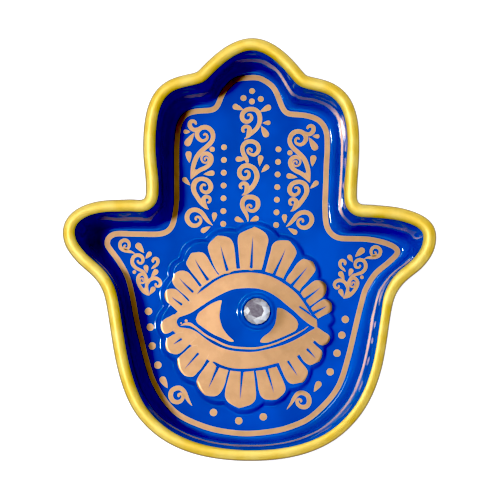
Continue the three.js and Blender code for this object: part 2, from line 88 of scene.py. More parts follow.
# one mesh from sheets: a sheet is a grid of points in mm with a tone for each point, 0 on an edge where a painted
# highlight (foil) or painted shade (gold) is strongest and 1 inside, and each cell of the grid is a face; faces of a
# film are turned upwards, those of a closed body outwards
def makePiece(name, sheets, finish, nodes, film=True):
    points, cells, tones, count = [], [], [], 0
    for sheet, tone in sheets:
        rows, columns = sheet.shape[:2]
        at = count + np.arange(rows * columns).reshape(rows, columns)
        cells.append(np.stack([at[:-1, :-1], at[:-1, 1:], at[1:, 1:], at[1:, :-1]], -1).reshape(-1, 4))
        points.append(sheet.reshape(-1, 3))
        tones.append(np.broadcast_to(tone, (rows, columns)).ravel())
        count += rows * columns
    points, cells = np.vstack(points), np.vstack(cells)
    if film:
        a, b = points[cells[:, 2]] - points[cells[:, 0]], points[cells[:, 3]] - points[cells[:, 1]]
        down = a[:, 0] * b[:, 1] - a[:, 1] * b[:, 0] < 0
        cells[down] = cells[down][:, ::-1]
    mesh = bpy.data.meshes.new(name)
    mesh.from_pydata((points * mm).tolist(), [], cells.tolist())
    mesh.attributes.new("paintedEdgeTone", "FLOAT", "POINT").data.foreach_set("value", np.concatenate(tones))
    joinUp(mesh, not film)
    mesh.shade_smooth()
    if film:  # the edge of a film is hard: its edges belong to one face only
        used = np.empty(len(mesh.loops), np.int32)
        mesh.loops.foreach_get("edge_index", used)
        hard = np.bincount(used, minlength=len(mesh.edges)) == 1
        mesh.attributes.new("sharp_edge", "BOOLEAN", "EDGE").data.foreach_set("value", hard)
    return placePiece(name, mesh, finish, nodes)


def placePiece(name, mesh, finish, nodes):
    piece = bpy.data.objects.new(name, mesh)
    bpy.context.collection.objects.link(piece)
    mesh.materials.append(finish)
    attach(piece, "root")
    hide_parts(*nodes)
    return piece


# a wire is a socket's value in a finish, and sums on wires add Math nodes
class Wire:
    def __init__(self, finish, socket):
        self.finish, self.socket = finish, socket

    def sum(self, operation, first, second):
        return self.finish.node("Math", {"operation": operation}, {0: first, 1: second})

    def __add__(self, other):
        return self.sum("ADD", self, other)

    def __sub__(self, other):
        return self.sum("SUBTRACT", self, other)

    def __rsub__(self, other):
        return self.sum("SUBTRACT", other, self)

    def __mul__(self, other):
        return self.sum("MULTIPLY", self, other)

    __radd__, __rmul__ = __add__, __mul__


# a finish is a material; node() adds any node: its kind, its settings, then values or wires for its sockets
class Finish:
    def __init__(self, name, **fixed):
        self.material = bpy.data.materials.new(name)
        self.material.use_nodes = True
        self.tree = self.material.node_tree
        self.shader = self.tree.nodes["Principled BSDF"]
        for key, value in fixed.items():
            self.set(key.replace("_", " "), value)
        self.place = self.node("TexCoord", out="Object")

    def feed(self, socket, value):
        if isinstance(value, Wire):
            self.tree.links.new(value.socket, socket)
        else:
            socket.default_value = value

    def set(self, socket, value):
        self.feed(self.shader.inputs[socket], value)

    def node(self, kind, settings={}, sockets={}, out=0):
        made = self.tree.nodes.new("ShaderNode" + kind)
        for key, value in settings.items():
            setattr(made, key, value)
        for key, value in sockets.items():
            self.feed(made.inputs[key], value)
        return Wire(self, made.outputs[out])

    def noise(self, scale, detail=2, roughness=0.5):  # scale is in patches per metre
        sockets = {"Vector": self.place, "Scale": scale, "Detail": detail, "Roughness": roughness}
        return self.node("TexNoise", {}, sockets)

    def between(self, value, low, high):  # 0 below low, 1 above high, smooth between
        sockets = {"Value": value, "From Min": low, "From Max": high}
        return self.node("MapRange", {"interpolation_type": "SMOOTHSTEP"}, sockets)

    def blend(self, factor, first, second):  # colours
        colours = [c if isinstance(c, Wire) else (*c, 1) for c in (first, second)]
        return self.node("Mix", {"data_type": "RGBA"}, {0: factor, 6: colours[0], 7: colours[1]}, out=2)

    def mark(self, name):  # a number kept on the piece's own points or faces
        return self.node("Attribute", {"attribute_name": name}, out="Fac")

    def bump(self, height, distance):
        self.set("Normal", self.node("Bump", {}, {"Height": height, "Distance": distance}))


# the sky dome is drawn with the same nodes, on the world
class Dome(Finish):
    def __init__(self, name):
        self.world = bpy.data.worlds.new(name)
        self.world.use_nodes = True
        self.tree = self.world.node_tree
        self.shader = self.tree.nodes["Background"]
        self.place = self.node("TexCoord", out="Generated")

    # a soft round window: 1 within middle degrees of its direction, 0 past edge
    def patch(self, turn, height, edge, middle):
        turn, height, edge, middle = np.radians([turn, height, edge, middle]).tolist()
        way = (math.cos(turn) * math.cos(height), math.sin(turn) * math.cos(height), math.sin(height))
        near = self.node("VectorMath", {"operation": "DOT_PRODUCT"}, {0: self.place, 1: way}, out="Value")
        return self.between(near, math.cos(edge), math.cos(middle))


# cobalt glaze: a deep and a bright blue in slow patches, an even gloss with soft ripples, bare clay under the foot
cobalt = {
    "deep": (0.004, 0.089, 0.385), "bright": (0.006, 0.109, 0.49), "patches": 70, "gloss": 0.05, "glossDrift": 0.05,
    "clay": (0.62, 0.5, 0.38), "paleClay": (0.74, 0.63, 0.5), "clayRough": 0.85, "clayGrain": 0.2,
    "footLine": 0.7 * mm, "footFade": 0.3 * mm, "rippleDepth": 0.22 * mm,
    "ripples": [(60, 1, 1), (190, 1, 0.24), (420, 2, 0.05)],  # patches per metre, detail, share
}
glaze = Finish("cobaltGlaze", IOR=1.47)
high = glaze.node("SeparateXYZ", {}, {0: glaze.place}, out="Z")
glazed = glaze.between(high, cobalt["footLine"], cobalt["footLine"] + cobalt["footFade"])
grain = glaze.noise(900, 3)
bare = glaze.blend(grain, cobalt["clay"], cobalt["paleClay"])
blue = glaze.blend(glaze.between(glaze.noise(cobalt["patches"]), 0.3, 0.7), cobalt["deep"], cobalt["bright"])
glaze.set("Base Color", glaze.blend(glazed, bare, blue))
smoothing = glazed * (cobalt["clayRough"] - cobalt["gloss"])
glaze.set("Roughness", cobalt["clayRough"] - smoothing + glaze.noise(260) * cobalt["glossDrift"])
ripples = sum(glaze.noise(scale, detail) * share for scale, detail, share in cobalt["ripples"])
glaze.bump(ripples + grain * (1 - glazed) * cobalt["clayGrain"], cobalt["rippleDepth"])

# gold lustre: a satin film, brushed on, with slow changes of tone, and painted shade that darkens it to brown at its
# outer edge
gold = {"warm": (0.69, 0.48, 0.095), "pale": (0.76, 0.595, 0.185), "thin": (0.15, 0.085, 0.022),
        "edge": (0.55, 0.36, 0.1, 1), "metal": 0.4, "satin": 0.5, "shine": 0.3, "sheen": 0.32, "sheenRough": 0.32,
        "grainDepth": 0.03 * mm}
gilt = Finish("goldLustre", Metallic=gold["metal"], Specular_IOR_Level=gold["shine"], Specular_Tint=gold["edge"],
              Coat_Weight=gold["sheen"], Coat_Roughness=gold["sheenRough"])
brushed = gilt.blend(gilt.between(gilt.noise(160, 3), 0.3, 0.72), gold["warm"], gold["pale"])
# painted shade: brown where the edge tone is 0, along the outer edge
gilt.set("Base Color", gilt.blend(gilt.mark("paintedEdgeTone"), gold["thin"], brushed))
gilt.set("Roughness", gold["satin"] + gilt.noise(700, 3) * 0.14)
gilt.bump(gilt.noise(1500, 4), gold["grainDepth"])

# copper foil: a rubbed metal film with fine grain under a broad soft sheen, with a painted highlight along its cut
# edges and pale specks of painted sparkle
copper = {"fair": (0.505, 0.258, 0.102), "red": (0.445, 0.219, 0.08), "pale": (0.68, 0.46, 0.28), "paleShare": 0.4,
          "metal": 0.66, "satin": 0.32, "sheen": 0.7, "sheenRough": 0.5, "sheenStrength": 2.0, "grainDepth": 0.02 * mm}
foil = Finish("copperFoil", Metallic=copper["metal"], Coat_Weight=copper["sheen"],
              Coat_Roughness=copper["sheenRough"], Coat_IOR=copper["sheenStrength"])
rubbed = foil.noise(260, 3)
sparkleSpecks = foil.noise(2600, 3, 0.65)
tone = foil.blend(foil.between(rubbed, 0.35, 0.68), copper["fair"], copper["red"])
# pale specks of painted sparkle; the same noise also roughens and bumps the foil
tone = foil.blend(foil.between(sparkleSpecks, 0.60, 0.78) * copper["paleShare"], tone, copper["pale"])
# a painted highlight along the foil's cut edges, where the edge tone falls to 0
edgeHighlight = 1 - foil.between(foil.mark("paintedEdgeTone"), 0.0, 1.0)
foil.set("Base Color", foil.blend(edgeHighlight * copper["paleShare"], tone, copper["pale"]))
foil.set("Roughness", copper["satin"] + sparkleSpecks * 0.12)
foil.bump(sparkleSpecks + rubbed, copper["grainDepth"])

# cut glass with silvering behind it: each facet's colour is a painted reflection of the room, light or dark by its own
# glint
paintedFacetLight = {"dark": (0.15, 0.125, 0.17), "light": (0.95, 0.98, 1.0), "gloss": 0.08, "lift": 0.05, "clouding": 0.12}
clear = Finish("stoneGlass", IOR=1.54, Coat_Weight=0.5)
cloudy = clear.between(clear.noise(1300, 3), 0.3, 0.8)
glint = clear.mark("glint") - cloudy * paintedFacetLight["clouding"] + paintedFacetLight["lift"]
clear.set("Base Color", clear.blend(glint, paintedFacetLight["dark"], paintedFacetLight["light"]))
clear.set("Roughness", paintedFacetLight["gloss"] + cloudy * 0.05)
silver = Finish("stoneSilvering", Metallic=1.0)
silver.set("Base Color", silver.blend(silver.noise(1200, 3), (0.80, 0.80, 0.83), (0.62, 0.61, 0.66)))
silver.set("Roughness", 0.05 + silver.noise(2200, 2) * 0.12)
paste = Finish("stoneCement", Roughness=0.8)
paste.set("Base Color", paste.blend(paste.noise(1500, 3), (0.72, 0.70, 0.64), (0.55, 0.53, 0.48)))
paste.bump(paste.noise(3000, 3), 0.05 * mm)
print("finishes made")


# the hand's outline from the middle finger's tip down the right side: place, heading in degrees, and how far the curve
# keeps that heading before and after; and the border's middle line all the way round, which is drawn freer than the
# rim, each place with the number of the rim row it faces
hand = {
    "rim": [(0, 63.2, 0, 0, 8.4), (16.2, 52.7, -32, 1.5, 1.5), (25.5, 49.7, -32, 4, 5.8), (32.4, 32.7, -89, 8.4, 8),
            (31.6, 16.7, -90, 6.4, 3.5), (36.8, 14, -4, 3.5, 4.3), (47.4, 12.8, -16, 3.9, 5), (56, 4.2, -90, 4.6, 4),
            (52, -4.8, -132, 3, 4), (43.3, -15.3, -105, 6.3, 4.6), (39.7, -35.3, -104, 6.6, 8.3),
            (31.6, -51.4, -131, 4.7, 8.5), (0, -63.2, -180, 17.3, 0)],
    # the hand is not quite even: how far each row stands out, down the right side and up the left
    "lean": [0.42, -0.06, -0.1, 0, 0.29, -0.27, -0.43, -0.28, -0.2, -0.2, 0.08, 0.24, 0.08, 0.26, -0.48, -0.23, -0.4,
             0, 0.37, 0.32, -0.22, 0.04, 0.43, 0.64],
    "border": [(-0.1, 54, 0), (2.5, 53.7, 0.17), (5.8, 51.7, 0.42), (7.4, 49.5, 0.58), (8.9, 45.8, 0.83),
               (10.1, 43.6, 1), (11.4, 42.9, 1.12), (16.5, 42.5, 1.62), (20.5, 41.1, 2), (22.8, 37.7, 2.43),
               (23.2, 32.2, 3), (23, 28.2, 3.25), (22.8, 18.7, 3.83), (22.7, 15.2, 4.05), (23.1, 9.3, 4.33),
               (24.3, 6.7, 4.47), (26.5, 5.1, 4.6), (29.2, 4.9, 4.73), (34.6, 4.9, 5), (38.6, 4.4, 5.5),
               (42.5, 3.3, 6), (44.6, 2, 6.67), (44.8, 0.5, 7.1), (42.2, -2.2, 8), (38.2, -5.7, 8.4),
               (35.4, -10.3, 8.8), (34.6, -12.8, 9), (33.3, -18, 9.27), (32.4, -22, 9.47), (30.3, -31.2, 9.93),
               (27.9, -39, 10.5), (24.5, -44.3, 10.95), (19, -49.6, 11.26), (14.1, -52.1, 11.47), (8.8, -53.7, 11.68),
               (0.7, -54.7, 12), (-6.1, -54.3, 12.24), (-12.7, -52.9, 12.48), (-20.2, -49.7, 12.76),
               (-24.8, -45.5, 12.97), (-28.7, -39.1, 13.5), (-30.9, -32.6, 14), (-32.3, -27.4, 14.27),
               (-34, -20.8, 14.6), (-35.6, -12.9, 15), (-37.1, -7.7, 15.4), (-39.8, -2.9, 15.8), (-43, 1.3, 16.67),
               (-43.4, 2.7, 17.05), (-42.9, 4.2, 17.4), (-40.7, 5.4, 18), (-35.3, 5.4, 19), (-29.9, 5.4, 19.25),
               (-27.2, 5.5, 19.38), (-24.7, 6.5, 19.5), (-23.4, 8.9, 19.62), (-22.6, 14.3, 19.88), (-22.5, 17, 20),
               (-22.7, 27.8, 20.67), (-22.7, 33.2, 21), (-22.2, 38.5, 21.57), (-20.6, 41.8, 21.95),
               (-17.8, 43.2, 22.29), (-12.6, 43.7, 22.86), (-11.1, 44.3, 23), (-10.1, 46, 23.14), (-8.9, 49.1, 23.33),
               (-6.3, 52.2, 23.58), (-4.1, 53.5, 23.75)],
    "lipRun": 3.9, "wallRun": 8.6,  # insets of the lip's inner edge and the floor's edge
    "borderHalf": 0.83, "borderRoom": 0.14, "columns": 600, "soften": 3,
}


# the direction into the hand at each point of a loop that runs clockwise
def inwardOf(loop):
    ahead = np.roll(loop, -1, 0) - np.roll(loop, 1, 0)
    ahead /= np.hypot(ahead[:, 0], ahead[:, 1])[:, None]
    return np.stack([ahead[:, 1], -ahead[:, 0]], -1)


# the rim in cubic curves from row to row, the left side mirrored and then every row moved out by its lean, and the
# border's middle line at the same columns
def handLoops():
    rows = np.array(hand["rim"], float)
    heading = np.radians(rows[:, 2])
    turned = np.s_[-2:0:-1]  # the left half, back up to the tip
    ahead = np.stack([np.cos(heading), np.sin(heading)], -1)
    ahead = np.vstack([ahead, ahead[turned] * [1, -1]])
    ends = np.vstack([rows[:, :2], rows[turned, :2] * [-1, 1]])
    ends = ends + np.array(hand["lean"])[:, None] * np.stack([-ahead[:, 1], ahead[:, 0]], -1)
    before = np.concatenate([rows[:, 3], rows[turned, 4]])[:, None]
    after = np.concatenate([rows[:, 4], rows[turned, 3]])[:, None]
    before[0], after[len(rows) - 1] = after[0], before[len(rows) - 1]
    far = np.roll(ends, -1, 0)
    line = lineThrough(hand["border"] + [(*hand["border"][0][:2], len(ends))], 4000)
    lengths = np.hypot(*(far - ends).T) + np.diff(np.interp(np.arange(len(ends) + 1), line[:, 2], runOf(line)))
    share = np.insert(np.cumsum(lengths), 0, 0)  # columns go by the length of both loops
    at = np.interp(np.linspace(0, share[-1], hand["columns"], endpoint=False), share, np.arange(len(share)))
    i = at.astype(int)
    t = (at - i)[:, None]
    leave, arrive = ends + ahead * after, np.roll(ends - ahead * before, -1, 0)
    rim = (1 - t) ** 3 * ends[i] + 3 * t * (1 - t) ** 2 * leave[i] + 3 * t * t * (1 - t) * arrive[i] + t ** 3 * far[i]
    middle = np.stack([np.interp(at, line[:, 2], line[:, axis]) for axis in (0, 1)], -1)
    for i in range(hand["soften"]):
        middle = 0.5 * middle + 0.25 * (np.roll(middle, 1, 0) + np.roll(middle, -1, 0))
    return rim, middle


rimLoop, borderLoop = handLoops()
rimInward, borderInward = inwardOf(rimLoop), inwardOf(borderLoop)
floorLoop = borderLoop - borderInward * (hand["borderHalf"] + hand["borderRoom"])


# the outline moved in by an inset: straight in from the rim over the lip, then shared out to the floor's edge
def wallLoop(inset):
    inset = np.broadcast_to(inset, hand["columns"])[:, None]
    lipEdge = rimLoop + rimInward * np.minimum(inset, hand["lipRun"])
    past = np.maximum(inset - hand["lipRun"], 0) / (hand["wallRun"] - hand["lipRun"])
    return lipEdge + (floorLoop - lipEdge) * past


dish = {
    "rimHeight": 22, "floorHeight": 4, "lipRadius": 2, "lipBody": 1.92, "lipLean": 0.22,
    "wallBend": [(5.6, 4), (6.4, 11.5)],  # inset and height of the two pulls on the wall's curve
    "footInset": 5.2, "footChamfer": 1, "footRecess": 0.8, "recessInset": 9, "outsideSwell": 1.25,
    "footRing": [(6.4, 0), (7.4, 0), (7.9, 0.06), (8.15, 0.4), (8.4, 0.74), (8.8, 0.8)],  # inset, height
    "stone": (2.4, -17.8),
    "seat": [(0, 6.3), (2, 6.3), (4.1, 6.3), (4.2, 6.4), (4.2, 6.72)],  # radius, height
    "seatLip": 4.32, "bossHeight": 0.6, "bossFoot": 6.0, "bossSlope": 1.3, "bossRoom": 0.2,
    "edgeHeight": 1.5, "reliefSlope": 1.8, "shoulder": 2.0, "footSoft": 5.0, "footIn": 0.1, "footSpread": 0.6,
    "swells": [(0.35, 24), (0.5, 9)],  # height, reach
    # the raised flower's foot round the stone: degrees, radius at each petal
    "lobes": [(4.5, 24), (21, 23.3), (41.4, 23.9), (66.6, 25.1), (92.5, 27.6), (117.5, 27.8), (137.9, 29.8),
              (152.6, 29.8), (167.1, 29.8), (189.8, 30.9), (203.4, 31), (221.2, 30.8), (241.8, 31.3), (261.5, 31.4),
              (281.3, 28.9), (301.2, 27.2), (322.7, 25.5), (340.5, 25), (354.6, 24.1)],
    "valley": 1.5, "crisp": 4.5, "usualReach": 30,
    # how many rings each stretch gets, from the boss out and round to the underside
    "rings": {"boss": 12, "top": 18, "slope": 30, "floor": 12, "wall": 34, "lip": 14, "outside": 16, "chamfer": 7,
              "under": 8},
}


# the flower's foot in a direction: the smooth greatest of one hump for each petal, radius less the angle squared
def flowerFoot(turn):
    at, reach = np.array(dish["lobes"]).T
    at = np.radians(at)
    gap = np.mod(np.roll(at, -1) - at, 2 * np.pi)
    half = 0.25 * (gap + np.roll(gap, 1))
    off = np.mod(np.asarray(turn)[..., None] - at + np.pi, 2 * np.pi) - np.pi
    humps = reach - dish["valley"] * (off / half) ** 2
    return np.log(np.exp(dish["crisp"] * (humps - dish["usualReach"])).sum(-1)) / dish["crisp"] + dish["usualReach"]


# the height of the floor anywhere inside: flat, up the flower's edge, steep at the foot and rounded off to the top,
# then slow swells towards the middle, one wide and one for the iris, and up the boss round the stone
def bedHeight(x, y):
    dx, dy = x - dish["stone"][0], y - dish["stone"][1]
    far = np.hypot(dx, dy)
    inside = flowerFoot(np.arctan2(dy, dx)) - far - dish["footIn"]
    eased = np.logaddexp(0, dish["footSoft"] * inside) / dish["footSoft"]
    up = 1 - np.clip(1 - eased / dish["reliefSlope"], 0, 1) ** dish["shoulder"]
    boss = rise((dish["bossFoot"] - far) / dish["bossSlope"])
    swell = sum(height * np.clip(1 - (far / reach) ** 2, 0, 1) ** 2 for height, reach in dish["swells"])
    return dish["floorHeight"] + dish["edgeHeight"] * up + swell + dish["bossHeight"] * boss


# the body as rings from the stone's seat out over the flower, floor, cove, wall, lip and outside to the foot
def dishRings():
    middle = np.array(dish["stone"])
    way = borderLoop - middle
    reach = np.hypot(*way.T)[:, None]
    way = way / reach
    foot = flowerFoot(np.arctan2(way[:, 1], way[:, 0]))[:, None]
    rings, count = [], dish["rings"]

    def ring(xy, z):
        rings.append(np.column_stack([xy, np.broadcast_to(z, len(xy))]))

    def onBed(radius):
        xy = middle + way * radius
        ring(xy, bedHeight(xy[:, 0], xy[:, 1]))

    for radius, z in dish["seat"]:
        ring(middle + way * radius, z)
    bossEnd = dish["bossFoot"] + dish["bossRoom"]
    slope, spread = dish["reliefSlope"], dish["footSpread"] * dish["reliefSlope"]
    for radius in np.linspace(dish["seatLip"], bossEnd, count["boss"]):
        onBed(radius)
    for t in np.linspace(0, 1, count["top"])[1:] ** 1.3:  # closer together near the boss
        onBed(bossEnd + t * (foot - slope - bossEnd))
    for t in np.linspace(0.02, 1, count["slope"]):
        onBed(foot - slope + t * (slope + spread))
    for t in np.linspace(0, 1, count["floor"])[1:]:
        onBed(foot + spread + t * (reach - foot - spread))
    lipFoot = dish["rimHeight"] - dish["lipRadius"]

    def onLip(turn):  # the lip's section is an arc: inset and height
        return dish["lipRadius"] - dish["lipBody"] * np.cos(turn), lipFoot + dish["lipBody"] * np.sin(turn)

    lipStart = np.pi - dish["lipLean"]
    curve = np.array([(hand["wallRun"], dish["floorHeight"]), *dish["wallBend"], onLip(lipStart)])
    # the wall is one cubic curve from the floor's edge, through two pulls, to the lip
    for t in np.linspace(0, 1, count["wall"])[:-1]:
        inset, z = np.array([(1 - t) ** 3, 3 * t * (1 - t) ** 2, 3 * t * t * (1 - t), t ** 3]) @ curve
        ring(wallLoop(inset), z)
    for turn in np.linspace(lipStart, 0, count["lip"]):
        inset, z = onLip(turn)
        ring(wallLoop(inset), z)
    chamfer = dish["footChamfer"]
    outTop, outFoot = dish["lipRadius"] - dish["lipBody"], dish["footInset"] - chamfer
    for t in np.linspace(0, 1, count["outside"])[1:]:  # the outside swells a little on its way down
        ring(wallLoop(outTop + (outFoot - outTop) * t ** dish["outsideSwell"]), lipFoot + (chamfer - lipFoot) * t)
    for turn in np.linspace(0, np.pi / 2, count["chamfer"])[1:]:
        ring(wallLoop(dish["footInset"] - chamfer * np.cos(turn)), chamfer * (1 - np.sin(turn)))
    for inset, z in dish["footRing"]:
        ring(wallLoop(inset), z)
    for t in np.linspace(1, 0, count["under"]):
        ring(middle + (wallLoop(dish["recessInset"]) - middle) * t, dish["footRecess"])
    return np.array(rings)


# rings closed on themselves along the outline
def closed(rings):
    return np.concatenate([rings, rings[:, :1]], 1)


body = makePiece("dishBody", [(closed(dishRings()), 1.0)], glaze.material, ["dish_body"], film=False)
print("dish", len(body.data.polygons), "faces")

# the gilding is a thin closed band over the lip, from just below its outside to partway down its inside
# how far it was brushed down inside changes round the hand: degrees from the right thumb, radians round the lip
gilding = {"outside": 2.0, "inside": 1.86, "from": -0.12, "thinEdge": (0.35, 0.8), "steps": 26,
           "to": [(0, 2.9), (30, 2.9), (45, 2.5), (58, 2.75), (75, 2.9), (90, 2.8), (120, 2.55), (150, 2.8),
                  (160, 2.6), (166, 2.5), (178, 2.6), (195, 2.6), (230, 2.65), (270, 2.2), (300, 2.1), (335, 2.05),
                  (352, 2.6)]}
lipHeight = dish["rimHeight"] - dish["lipRadius"]
lastTurn = np.interp(np.degrees(np.arctan2(rimLoop[:, 1], rimLoop[:, 0])), *np.transpose(gilding["to"]), period=360)
outTurn = np.linspace(gilding["from"], lastTurn, gilding["steps"])
section = [(gilding["outside"], t) for t in outTurn] + [(gilding["inside"], t) for t in outTurn[::-4]]
section.append(section[0])
band = np.array([np.column_stack([wallLoop(dish["lipRadius"] - r * np.cos(t)), lipHeight + r * np.sin(t)])
                 for r, t in section])
# painted shade along the outer edge: 0 at the outer bottom edge, rising to 1 where the shade ends
thinFrom, thinTo = gilding["thinEdge"]
outerShading = rise((np.array([t for r, t in section]) - thinFrom) / (thinTo - thinFrom))
makePiece("lipGilding", [(closed(band), closed(outerShading))], gilt.material, ["rim_gilding"], film=False)
print("gilding made")


# in mm; each shape of a piece lies a step above the last, and a cut edge gets a painted pale highlight for a little
# way in
foilSheet = {"thickness": 0.12, "lift": 0.07, "step": 0.004, "paleEdge": 0.04, "paleInset": 0.3}


# foil shapes laid on the bed as one piece, given its thickness downwards; so many leaves in turn share a level
def layFoil(name, shapes, nodes, leaves=1):
    sheets = []
    for i, (xy, tone) in enumerate(shapes):
        z = bedHeight(xy[..., 0], xy[..., 1]) + foilSheet["lift"] + foilSheet["step"] * (i // leaves)
        sheets.append((np.concatenate([xy, z[..., None]], -1), tone))
    piece = makePiece(name, sheets, foil.material, nodes)
    thick = piece.modifiers.new("foil", "SOLIDIFY")
    thick.thickness = foilSheet["thickness"] * mm
    thick.offset = -1


def numbered(node, count):
    return [f"{node}_{i}" for i in range(1, count + 1)]


across = np.array([-1, -0.95, -0.6, -0.2, 0.2, 0.6, 0.95, 1])  # places across a stroke
# the edge tone across a stroke: 0 on its edges, which get a painted highlight
acrossTone = np.array([0, 0.15, 1, 1, 1, 1, 0.15, 0])


# a brush stroke: half its width to each side of a smooth line, both ends rounded off like a half circle
def stroke(rows, perMm=5):
    rough = runOf(np.array(rows))[-1]
    line = lineThrough(rows, int(rough * perMm) + 12)
    run = runOf(line)
    half = 0.5 * line[:, 2]
    for end, far in ((half[0], run), (half[-1], run[-1] - run)):
        half = half * np.sqrt(1 - (1 - np.clip(far / end, 0, 1)) ** 2)
    side = leftOf(line)
    return line[:, None, :2] + side[:, None] * (half[:, None] * across)[..., None], acrossTone


# a drop: a half circle behind the head's middle, then sides that draw in to the tip in a slight curve
def drop(x, y, radius, tipX, tipY, belly=0.7):
    s = np.linspace(0, 1, 26)
    far = math.hypot(tipX - x, tipY - y)
    along = np.concatenate([-radius * np.cos(0.5 * np.pi * s), far * s[1:]])
    half = np.concatenate([radius * np.sin(0.5 * np.pi * s), radius * ((1 - s) * (1 + belly * s))[1:]])
    way = np.array([tipX - x, tipY - y]) / far
    side = np.array([-way[1], way[0]])
    return np.array([x, y]) + along[:, None, None] * way + (half[:, None] * across)[..., None] * side, acrossTone


# a round dot as rings about its middle
def dot(x, y, radius):
    ring = radius * np.array([0, 0.35, 0.7, 0.96, 1.0])
    turn = np.linspace(0, 2 * np.pi, 29)
    xy = np.stack([x + ring[:, None] * np.cos(turn), y + ring[:, None] * np.sin(turn)], -1)
    return xy, np.array([1, 1, 1, 0.15, 0])[:, None]


# a sheet ruled straight across between two lines of as many points, with a painted pale highlight along either edge
def ruled(first, second, paleFirst=True, paleSecond=True):
    wide = np.maximum(np.hypot(*(second - first).T), 1e-6)[:, None]
    edge, inset = np.minimum(foilSheet["paleEdge"] / wide, 0.05), np.minimum(foilSheet["paleInset"] / wide, 0.25)
    even = inset + (1 - 2 * inset) * np.linspace(0, 1, 9)
    place = np.concatenate([0 * edge, edge, even, 1 - edge, 1 + 0 * edge], 1)
    tone = np.array([0.0, 0.15] + [1.0] * 9 + [0.15, 0.0])
    if not paleFirst:
        tone[:2] = 1
    if not paleSecond:
        tone[-2:] = 1
    return first[:, None] + (second - first)[:, None] * place[..., None], tone


# the border line runs round the floor beside the wall
borderEdges = [borderLoop + side * hand["borderHalf"] * borderInward for side in (-1, 1)]
layFoil("borderLine", [ruled(*[np.vstack([loop, loop[:1]]) for loop in borderEdges])], ["border_line"])

dots = {
    "crownRadius": 0.92, "columnRadius": 0.9, "palmRadius": 1.14, "inColumn": 7,
    "crown": [(0, 49.8), (-2.6, 47.6), (2.7, 47.4), (0, 46.6)],
    "leftColumn": [(-8.3, 32.4), (-8.2, 8.9)], "rightColumn": [(8.3, 32), (7.9, 8.8)],  # first and last
    "leftPalm": [(-30.5, -18.1), (-29.9, -22.9), (-29.2, -28.6), (-27.4, -34.4)],
    "rightPalm": [(29.3, -19.7), (28.3, -24.5), (26.9, -30), (24.9, -35.7)],
    "wrist": [(-10.3, -48.5), (-2.6, -50.9), (4.8, -49.6)],
}


def layDots(name, places, radius, node):
    layFoil(name, [dot(x, y, radius) for x, y in places], numbered(node, len(places)))


layDots("crownDots", dots["crown"], dots["crownRadius"], "crown_dot")
for side in ("left", "right"):
    column = np.linspace(*dots[side + "Column"], dots["inColumn"])
    layDots(side + "ColumnDots", column, dots["columnRadius"], side + "_column_dot")
    layDots(side + "PalmDots", dots[side + "Palm"], dots["palmRadius"], side + "_palm_dot")
layDots("wristDots", dots["wrist"], dots["palmRadius"], "wrist_dot")
print("border and dots laid")


